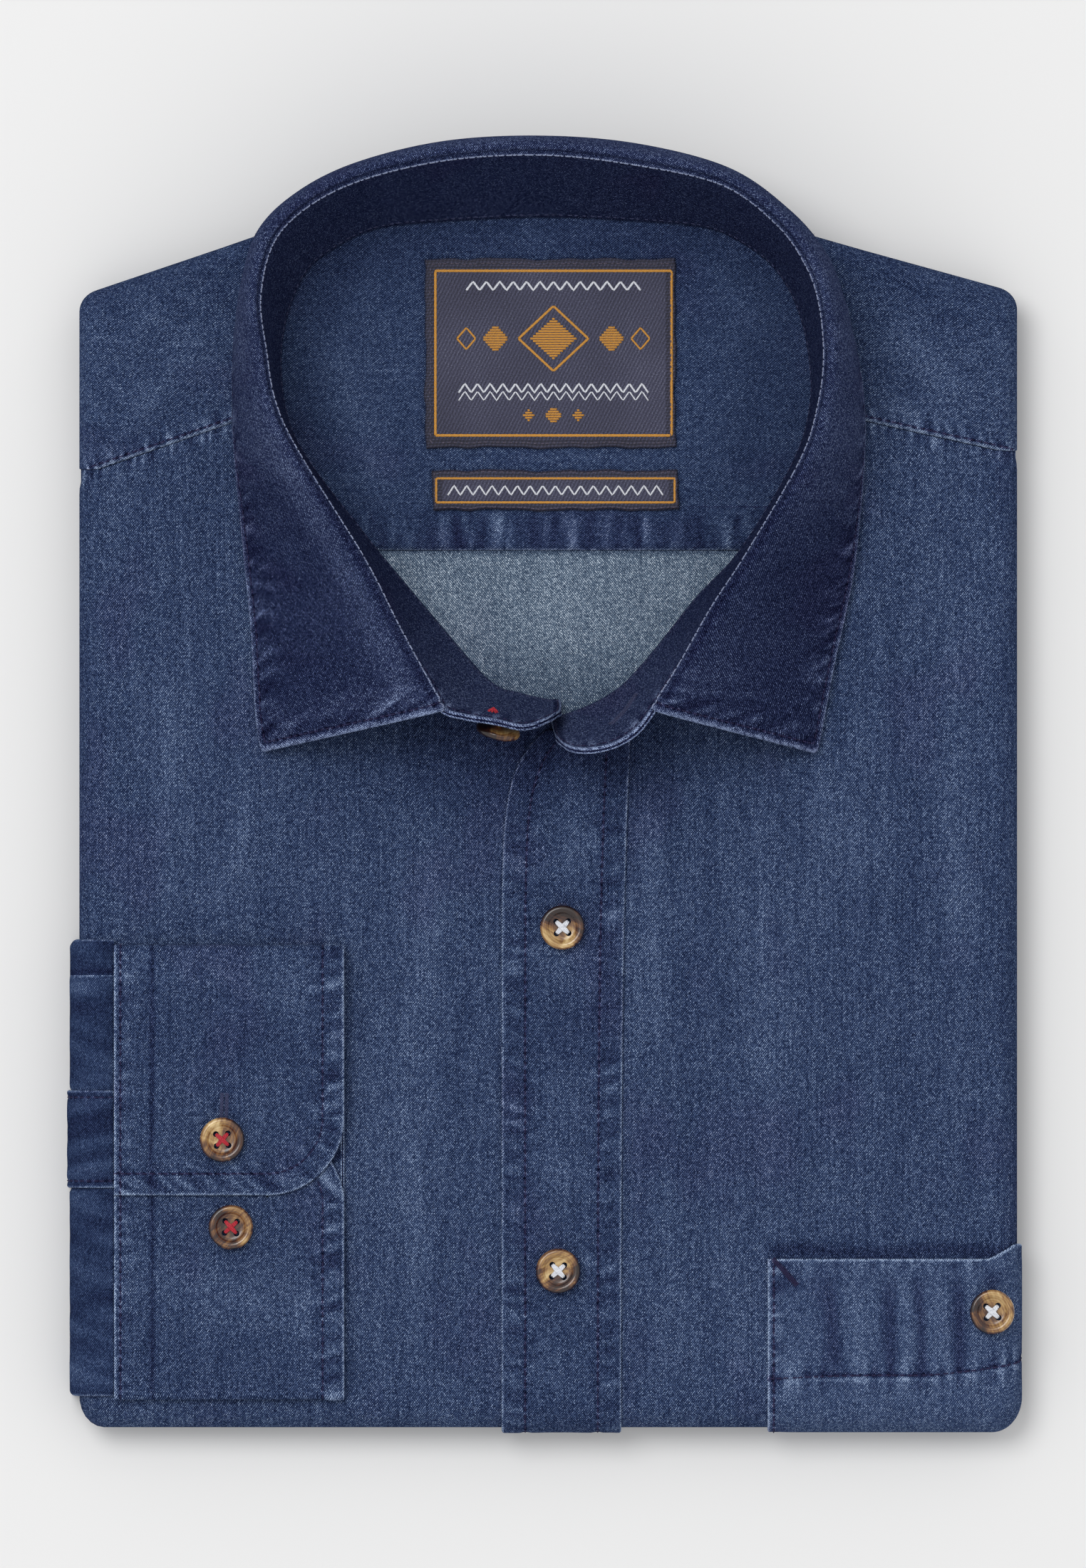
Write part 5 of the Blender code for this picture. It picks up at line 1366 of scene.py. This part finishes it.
def flat_line(piece, a, b, count=24):
    share = np.linspace(0, 1, count)
    spots = [(mix(a[0], b[0], s), mix(a[1], b[1], s)) for s in share]
    return np.array([(x, y, height_on(piece, x, y)) for x, y in spots]), np.tile([0.0, 0.0, 1.0], (count, 1))


def build_worked():
    """Buttonholes, the pocket's corner tack and the knot behind the collar button."""
    holes = [("right_cuff", (-82.2, -79.9), (-82.6, -93.0)), ("pocket", (116.1, -131.2), (116.0, -141.4)),
             ("front_placket", (5.0, -31.0), (5.0, -42.6)), ("front_placket", (3.9, -119.8), (3.9, -131.4))]
    for number, (piece, a, b) in enumerate(holes):
        points, faces = [], []
        worked(points, faces, *flat_line(piece, a, b), 2.3, 0.1)
        threads("buttonhole_%d" % (number + 1), points, faces, HOLE)
    points, faces = [], []
    worked(points, faces, *flat_line("pocket", (59.4, -122.7), (65.7, -129.5)), 1.5, 0.0)
    threads("pocket_tack", points, faces, NAVY)

    top, normal, _ = GRIDS["collar_stand"]
    bottom = top - normal * STAND_WALL
    inner, out = (top, normal) if np.sum(normal[len(top) // 2, 8, 1]) < 0 else (bottom, -normal)
    half = len(inner) // 2

    def spot_at(x, y, rows):
        away = (inner[rows, :, 0] - x) ** 2 + (inner[rows, :, 1] - y) ** 2
        row, column = np.unravel_index(np.argmin(away), away.shape)
        return row + rows.start, column

    a, b = spot_at(24.1, 23.6, slice(half, len(inner))), spot_at(17.5, 15.6, slice(half, len(inner)))
    spots = np.array([(mix(a[0], b[0], s), mix(a[1], b[1], s)) for s in np.linspace(0, 1, 20)])
    points, faces = [], []
    worked(points, faces, at_parts(inner, spots), at_parts(out, spots), 1.9, 0.15)
    threads("collar_buttonhole", points, faces, HOLE)

    row, column = spot_at(-12.7, 18.8, slice(0, half))
    centre, away = inner[row, column], out[row, column]
    side = unit(np.cross(away, [0.0, 0.0, 1.0]))
    rise = np.cross(side, away)
    points, faces = [], []
    for k in range(9):
        angle = 2.4 * k
        a, b = math.cos(angle), math.sin(angle)
        reach = 1.4 + 0.3 * math.sin(3.1 * k)
        path = [centre + (side * a + rise * b) * reach * t + away * h
                for t, h in ((-1.0, -0.1), (-0.6, 0.35), (0.0, 0.6 + 0.05 * k), (0.6, 0.35), (1.0, -0.1))]
        tube(points, faces, path, 0.24, 6)
    threads("collar_button_knot", points, faces, RED)


# ---------------------------------------------------------------- labels


def label_cloth():
    made = Nodes("label_satin")
    u, v = made.place()
    edge, _, tone, _ = made.masks()
    rib = made.sine((u + v * -0.5) * (TURN / 0.95))
    fine = made.noise(u * 2.6, v * 3.4, 1.0)
    clouds = made.noise(u * 0.05, v * 0.05, 2.0)
    border = made.range(edge, 2.3, 2.7, 1.0, 0.0)
    warp = made.sine(v * (TURN / 0.8))
    value = 0.5 + rib * 0.09 + (fine - 0.5) * 0.5 + (clouds - 0.5) * 0.2 + border * (-0.16 + warp * 0.12)
    value = value + tone * 0.2
    stops = [(0.0, (16, 14, 26)), (0.35, (36, 36, 55)), (0.6, (66, 67, 90)), (1.0, (136, 138, 158))]
    made.bump(rib * 0.5 + fine, 0.0001, 0.35)
    return made.finish(made.ramp(value, stops), 0.6, specular=0.3, sheen=0.05)


def thread(name, dark, light, roughness=0.5, shine=0.4):
    """Sewing or embroidery thread: fine lines of light across its lie."""
    made = Nodes(name)
    u, v = made.place()
    twist = made.sine((u + v * 0.6) * (TURN / 0.42))
    fine = made.noise(u * 4.0, v * 4.0, 1.0)
    value = 0.5 + twist * 0.28 + (fine - 0.5) * 0.7
    made.bump(twist + fine, 0.00006, 0.5)
    colour = made.ramp(value, even_stops(dark, light))
    return made.finish(colour, roughness, specular=shine, sheen=0.25 * shine)


LABEL_CLOTH = label_cloth()
GOLD = thread("gold_thread", (158, 98, 22), (226, 166, 66), 0.42)
WHITE = thread("white_thread", (176, 180, 192), (246, 248, 252), 0.5)
RED = thread("red_thread", (120, 8, 26), (206, 30, 52), 0.5)
NAVY = thread("navy_thread", (12, 11, 28), (62, 58, 98), 0.85, shine=0.1)
PALE = thread("pale_thread", (58, 68, 106), (168, 180, 212), 0.55)
HOLE = thread("buttonhole_thread", (18, 20, 42), (92, 98, 136), 0.85, shine=0.1)
LABEL_EDGE = thread("label_edge_thread", (44, 38, 56), (112, 104, 124), 0.6)


def build_label(name, box):
    x0, y0, x1, y1 = box
    xs, ys = x0 + fine_steps(x1 - x0), y0 + fine_steps(y1 - y0)
    small = y1 - y0 < 14.0
    if small:
        ys = y0 + np.linspace(0, y1 - y0, 22)
    x, y = np.meshgrid(xs, ys)
    edge = np.minimum(np.minimum(x - x0, x1 - x), np.minimum(y - y0, y1 - y))
    ripple = label_ripple(x, y, edge)
    shape_x = x + 0.35 * wave(y, 84.0, 12.0) * bell(edge, 2.0)
    shape_y = y + 0.35 * wave(x, 85.0, 14.0) * bell(edge, 2.0)
    top = on_pile(shape_x, shape_y, label_top(x, box) + ripple * 0.6 - round_over(edge, 0.35))
    cloth(name, top, np.stack([x, y], -1), (edge, ripple, 0.0, FAR), LABEL_CLOTH, None, slot="label",
          wall=0.5, bulge=0.1, offset=(0.3, 0.3))
    sew(name + "_stitches", LABEL_EDGE, name, [edge - (0.6 if small else 1.3)], pitch=1.6, length=1.0)


def label_ripple(x, y, edge):
    across = 0.18 * wave(x, 81.0, 17.0) * wave(y, 82.0, 23.0)
    return across + 0.12 * wave(x + y, 83.0, 6.0) * bell(edge, 3.0)


def label_top(x, box):
    return LABEL_LAYER + 0.85 + 0.15 * bell(x - box[0], 30.0)


def strip(parts, path, width, thick, closed):
    """Adds a flat band of thread along a path on the labels: points, faces and places."""
    path = np.array(path, float)
    if closed:
        path = np.concatenate([path, path[:1]])
    points, faces, uvs = parts
    run = arc_lengths(path)
    count = max(2, round(run[-1] / 0.6))
    want = np.linspace(0, run[-1], count + 1)
    px, py = sample(want, run, path).T
    dx, dy = np.gradient(px), np.gradient(py)
    length = np.maximum(np.hypot(dx, dy), 1e-9)
    nx, ny = -dy / length, dx / length
    base = len(points)
    for k in range(len(px)):
        wide = width * (1.0 + 0.12 * math.sin(k * 2.399))
        for off, up in ((-0.5, -0.05), (-0.36, thick * 0.8), (0.0, thick), (0.36, thick * 0.8), (0.5, -0.05)):
            x, y = px[k] + nx[k] * off * wide, py[k] + ny[k] * off * wide
            points.append((x, y, up))
            uvs.append((want[k], off * wide))
    for k in range(len(px) - 1):
        for j in range(4):
            a = base + k * 5 + j
            faces.append((a, a + 5, a + 6, a + 1))


def label_strips(name, strips, box, material):
    """The threads of one colour on a label, raised from it."""
    parts = ([], [], [])
    for path, width, closed in strips:
        strip(parts, path, width, 0.16, closed)
    points, faces, uvs = (np.array(part) for part in parts)
    x, y = points[:, 0], points[:, 1]
    edge = np.minimum(np.minimum(x - box[0], box[2] - x), np.minimum(y - box[1], box[3] - y))
    z = pile_height(x, y) + label_top(x, box) + 0.6 * label_ripple(x, y, edge) + points[:, 2]
    mesh = build_mesh(name, np.stack([x, y, z], 1), faces.tolist())
    set_places(mesh, uvs * MM)
    body = add_object(name, mesh, material).modifiers.new("Body", "SOLIDIFY")
    body.thickness, body.offset = 0.12 * MM, -1.0


def lozenge(x, y, wide, high):
    return [(x - wide, y), (x, y - high), (x + wide, y), (x, y + high)]


def filled(x, y, wide, high, pitch=0.62):
    """A lozenge filled with level rows of thread."""
    rows = []
    count = max(1, round(2 * high / pitch))
    for k in range(count):
        at = -high + (k + 0.5) * 2 * high / count
        half = wide * (1 - abs(at) / high)
        if half > 0.3:
            rows.append(([(x - half, y + at), (x + half, y + at)], pitch * 0.92, False))
    return rows


def zigzag(x0, x1, y, high, count):
    return [(mix(x0, x1, k / count), y + (high if k % 2 else -high)) for k in range(count + 1)]


def build_labels():
    build_label("main_label", MAIN_LABEL)
    build_label("size_label", SIZE_LABEL)
    x0, y0, x1, y1 = MAIN_LABEL
    frame_box = (x0 + 2.6, y0 + 3.2, x1 - 1.0, y1 - 3.1)
    a, b, c, d = frame_box
    middle = (a + c) / 2
    gold = [([(a, b), (c, b), (c, d), (a, d)], 0.75, True)]
    gold += [(lozenge(middle, 115.0, 9.0, 8.4), 0.7, True)]
    gold += filled(middle, 115.0, 6.0, 5.4)
    for side in (-1, 1):
        gold += filled(middle + side * 15.0, 115.0, 3.4, 3.8)
        gold += [(lozenge(middle + side * 22.5, 115.0, 2.4, 2.8), 0.55, True)]
    gold += filled(middle, 95.2, 2.3, 2.5, 0.6)
    for side in (-1, 1):
        gold += filled(middle + side * 6.4, 95.2, 1.5, 1.6, 0.6)
    label_strips("main_label_gold", gold, MAIN_LABEL, GOLD)
    white = [(zigzag(a + 8.0, c - 8.0, d - 3.9, 1.15, 26), 0.6, False),
             (zigzag(a + 6.0, c - 6.0, 102.2, 1.2, 30), 0.55, False),
             (zigzag(a + 6.0, c - 6.0, 100.2, 1.2, 30), 0.4, False)]
    label_strips("main_label_white", white, MAIN_LABEL, WHITE)
    x0, y0, x1, y1 = SIZE_LABEL
    a, b, c, d = x0 + 0.9, y0 + 2.0, x1 - 1.0, y1 - 2.1
    gold = [([(a, b), (c, b), (c, d), (a, d)], 0.65, True)]
    label_strips("size_label_gold", gold, SIZE_LABEL, GOLD)
    white = [(zigzag(a + 3.0, c - 3.0, (b + d) / 2, 1.25, 34), 0.5, False)]
    label_strips("size_label_white", white, SIZE_LABEL, WHITE)


# ---------------------------------------------------------------- buttons


BUTTON_RADIUS, BUTTON_THICK, HOLE_RADIUS, HOLE_OFFSET = 5.75, 2.6, 0.75, 1.55
CUFF_UNDER_TOP = LAYER_2 + 2 * CUFF_WALL + GAP
CUFF_OVER_TOP = CUFF_UNDER_TOP + GAP + CUFF_WALL


def horn(name, seed):
    """Amber horn, clouded from tan to dark brown, with fine lines and a polished face."""
    made = Nodes(name)
    x, y = made.in_mm(made.node("ShaderNodeTexCoord", "Object", {}))
    cx, cy, turn = seed
    cos, sin = math.cos(turn), math.sin(turn)
    along = x * cos + y * sin + (-cx * cos - cy * sin)
    across = x * -sin + y * cos + (cx * sin - cy * cos)
    cloud = made.noise(x * 0.16 + cx, y * 0.16, 3.0, distortion=0.6)
    vein = made.noise(along * 0.25 + cy, across * 1.5, 3.0, distortion=0.3)
    radius = made.math("SQRT", made.math("POWER", x - cx, 2.0) + made.math("POWER", y - cy, 2.0))
    rings = made.sine(radius * (TURN / 0.62)) * made.range(radius, 1.8, 2.6, 0.0, 0.05)
    # Painted shade on the outer rim's slope and on the dish's wall.
    rim = made.range(radius, 4.9, 5.6, 0.0, -0.22) + made.range(radius, 3.2, 3.9, 0.0, 1.0) * -0.07
    value = 0.43 + across * 0.05 + rings + rim + (cloud - 0.5) * 1.5 + (vein - 0.5) * 0.6
    stops = [(0.0, (30, 12, 8)), (0.22, (70, 36, 20)), (0.42, (124, 86, 48)), (0.62, (166, 130, 78)),
             (1.0, (218, 192, 140))]
    made.bump(vein, 0.00008, 0.15)
    return made.finish(made.ramp(value, stops), 0.32, specular=0.5, coat=0.5)


def button_profile(shank):
    """Half the button from its dished face, over the raised rim and down to its foot."""
    marks = [(0.0, 0.60), (1.2, 0.595), (2.4, 0.60), (3.0, 0.62), (3.35, 0.66), (3.65, 0.75), (3.9, 0.86),
             (4.15, 0.94), (4.5, 0.985), (4.9, 1.0), (5.25, 0.965), (5.52, 0.87), (5.69, 0.74),
             (BUTTON_RADIUS, 0.60), (5.72, 0.46), (5.55, 0.32), (5.2, 0.19), (4.6, 0.08), (3.6, 0.01),
             (2.0, 0.0), (0.0, 0.0)]
    return [(r, shank + BUTTON_THICK * h) for r, h in marks]


def blank_object(name, made):
    """A bare object from an edit mesh, for cutting."""
    mesh = bpy.data.meshes.new(name)
    made.to_mesh(mesh)
    made.free()
    blank = bpy.data.objects.new(name, mesh)
    bpy.context.scene.collection.objects.link(blank)
    return blank


def build_button(name, place, axis, shank, turn, thread_material, seed):
    """A turned disc with four holes, sewn on with crossed threads."""
    made = bmesh.new()
    segments = 56
    rings = []
    for r, z in button_profile(shank):
        spokes = [TURN * k / segments for k in range(segments if r else 1)]
        rings.append([made.verts.new((r * math.cos(a) * MM, r * math.sin(a) * MM, z * MM)) for a in spokes])
    for above, below in zip(rings, rings[1:]):
        for k in range(segments):
            j = (k + 1) % segments
            loop = [ring[at % len(ring)] for ring, at in ((above, k), (below, k), (below, j), (above, j))]
            made.faces.new([v for n, v in enumerate(loop) if v is not loop[n - 1]])
    blank = blank_object(name + "_blank", made)
    pins = bmesh.new()
    for x in (-HOLE_OFFSET, HOLE_OFFSET):
        for y in (-HOLE_OFFSET, HOLE_OFFSET):
            spot = Matrix.Translation(Vector((x, y, shank + BUTTON_THICK / 2)) * MM)
            bmesh.ops.create_cone(pins, cap_ends=True, segments=20, radius1=HOLE_RADIUS * MM,
                                  radius2=HOLE_RADIUS * MM, depth=2 * BUTTON_THICK * MM, matrix=spot)
    cutter = blank_object(name + "_pins", pins)
    holes = blank.modifiers.new("Holes", "BOOLEAN")
    holes.operation, holes.solver, holes.object = "DIFFERENCE", "EXACT", cutter
    graph = bpy.context.evaluated_depsgraph_get()
    finished = bpy.data.meshes.new_from_object(blank.evaluated_get(graph))
    finished.name = name + "_horn"
    for spare in (blank, cutter):
        bpy.data.objects.remove(spare, do_unlink=True)
    upright = Vector((0.0, 0.0, 1.0)).rotation_difference(Vector(axis)).to_matrix().to_4x4()
    placed = Matrix.Translation(Vector(place) * MM) @ upright @ Matrix.Rotation(turn, 4, "Z")
    finished.transform(placed)
    add_object(name + "_horn", finished, horn(name + "_horn", (place[0], place[1], seed)), [name])
    finished.set_sharp_from_angle(angle=math.radians(40))
    build_threads(name, placed, shank, thread_material)


def tube(points, faces, path, radius, sides=6):
    """Adds a round thread along a path, pointed at both ends."""
    path = np.array(path, float)
    run = unit(np.gradient(path, axis=0))
    side = unit(np.cross(run, [0.13, 0.21, 0.97]))
    rise = np.cross(side, run)
    base = len(points)
    for k, spot in enumerate(path):
        scale = radius * (0.55 if k in (0, len(path) - 1) else 1.0)
        for j in range(sides):
            angle = TURN * j / sides
            points.append(tuple(spot + scale * (math.cos(angle) * side[k] + math.sin(angle) * rise[k])))
    for k in range(len(path) - 1):
        for j in range(sides):
            a, b = base + k * sides + j, base + k * sides + (j + 1) % sides
            faces.append((a, b, b + sides, a + sides))
    faces.append(tuple(base + j for j in range(sides))[::-1])
    faces.append(tuple(base + (len(path) - 1) * sides + j for j in range(sides)))


def build_threads(name, placed, shank, material):
    """Crossed threads through the four holes, and the shank under the button."""
    full = 0.95 if material is WHITE else 0.7
    points, faces = [], []
    face = shank + BUTTON_THICK * 0.60
    for layer, (sx, sy) in enumerate(((1, 1), (1, -1))):
        b = np.array([HOLE_OFFSET * sx, HOLE_OFFSET * sy])
        a = -b
        way = unit(b - a)
        normal = np.array([-way[1], way[0]])
        for strand in (-1.0, -0.33, 0.33, 1.0):
            path = []
            for share in (-0.12, -0.02, 0.06, 0.16, 0.3, 0.5, 0.7, 0.84, 0.94, 1.02, 1.12):
                arch = math.sin(math.pi * min(max(share, 0.0), 1.0))
                pinch = (0.26 + 0.24 * arch) * full
                spot = a + (b - a) * min(max(share, 0.03), 0.97) + normal * strand * pinch
                bow = 0.32 * layer + 0.22 + 0.35 * arch
                depth = bow if 0.0 <= share <= 1.0 else (-1.1 if abs(share - 0.5) > 0.55 else -0.2)
                path.append((spot[0], spot[1], face + depth))
            tube(points, faces, path, 0.22 + 0.03 * full)
    for k in range(7):
        angle = TURN * k / 7
        x, y = 0.55 * math.cos(angle), 0.55 * math.sin(angle)
        path = [(x * 1.3, y * 1.3, -0.1), (x, y, shank * 0.5), (x * 1.2, y * 1.2, shank + 0.2)]
        tube(points, faces, path, 0.36)
    threads(name + "_thread", points, faces, material, placed)


def build_buttons():
    rows = [
        ("front_button_1", 5.0, -37.0, LAYER_2 + SHELL, 0.03, WHITE, 2.6),
        ("front_button_2", 3.9, -125.7, LAYER_2 + SHELL, -0.04, WHITE, 0.5),
        ("cuff_button_1", -82.8, -91.8, CUFF_OVER_TOP, 0.06, RED, 1.2),
        ("cuff_button_2", -80.6, -114.4, CUFF_UNDER_TOP, -0.05, RED, 3.9),
        ("pocket_button", 116.0, -136.3, LAYER_2 + INNER_WALL, 0.05, WHITE, 5.2),
    ]
    for name, x, y, height, turn, material, seed in rows:
        place = on_top(np.array(x), np.array(y), height + GAP)
        build_button(name, tuple(place), (0, 0, 1), 0.5, turn, material, seed)
    before, section, after = stand_grid(np.array(RIGHT_END[:3]), (0.0, 0.34, 0.67, 1.0))
    foot = (section[1] + section[2]) / 2
    axis = np.cross(after[1] + after[2] - before[1] - before[2], section[3] - section[0])
    axis = unit(axis)
    place = foot + axis * (STAND_WALL / 2 + GAP + 0.1)
    build_button("collar_button", tuple(place), tuple(axis), 3.0, 0.5, RED, 4.4)


# ---------------------------------------------------------------- floor, light and camera


# In metres: half the floor, the camera's distance, the height it looks at and what it spans there.
FLOOR = 30.0
DISTANCE, AIM_HEIGHT, SPAN = 12.0, 0.02, 0.4048
SENSOR = 36.0


def build_stage():
    mesh = bpy.data.meshes.new("floor")
    corners = [(x * FLOOR, y * FLOOR, 0) for x, y in ((-1, -1), (1, -1), (1, 1), (-1, 1))]
    mesh.from_pydata(corners, [], [(0, 1, 2, 3)])
    mesh.materials.append(Nodes("floor").finish((0.80, 0.80, 0.80, 1.0), 0.95, specular=0.05))
    floor = bpy.data.objects.new("floor", mesh)
    bpy.context.scene.collection.objects.link(floor)

    world = bpy.data.worlds.new("studio")
    bpy.context.scene.world = world
    world.use_nodes = True
    background = world.node_tree.nodes["Background"].inputs
    background["Color"].default_value = (1.0, 1.0, 1.0, 1.0)
    background["Strength"].default_value = 0.76

    add_light("key", place=(-1.1, 1.2, 3.5), aim=(0.0, 0.0, 0.0), size=2.0, power=58.0)

    camera = bpy.data.cameras.new("photo")
    camera.sensor_fit = "VERTICAL"
    camera.sensor_width = camera.sensor_height = SENSOR
    camera.lens = SENSOR * (DISTANCE - AIM_HEIGHT) / SPAN
    camera.clip_start, camera.clip_end = 1.0, 60.0
    view = bpy.data.objects.new("photo", camera)
    view.location = (0.0, 0.0, DISTANCE)
    bpy.context.scene.collection.objects.link(view)
    bpy.context.scene.camera = view
    bpy.context.scene.view_settings.view_transform = "Standard"


def add_light(name, place, aim, size, power):
    lamp = bpy.data.lights.new(name, "AREA")
    lamp.shape, lamp.size, lamp.energy = "DISK", size, power
    light = bpy.data.objects.new(name, lamp)
    light.location = place
    light.rotation_mode = "QUATERNION"
    light.rotation_quaternion = (Vector(aim) - Vector(place)).to_track_quat("-Z", "Y")
    bpy.context.scene.collection.objects.link(light)


build_stage()
build_layers()
build_fronts()
build_yoke_outer()
build_inside()
build_stand()
build_leaf()
build_placket()
build_pocket()
build_sleeve()
build_cuff()
build_labels()
build_buttons()
build_worked()
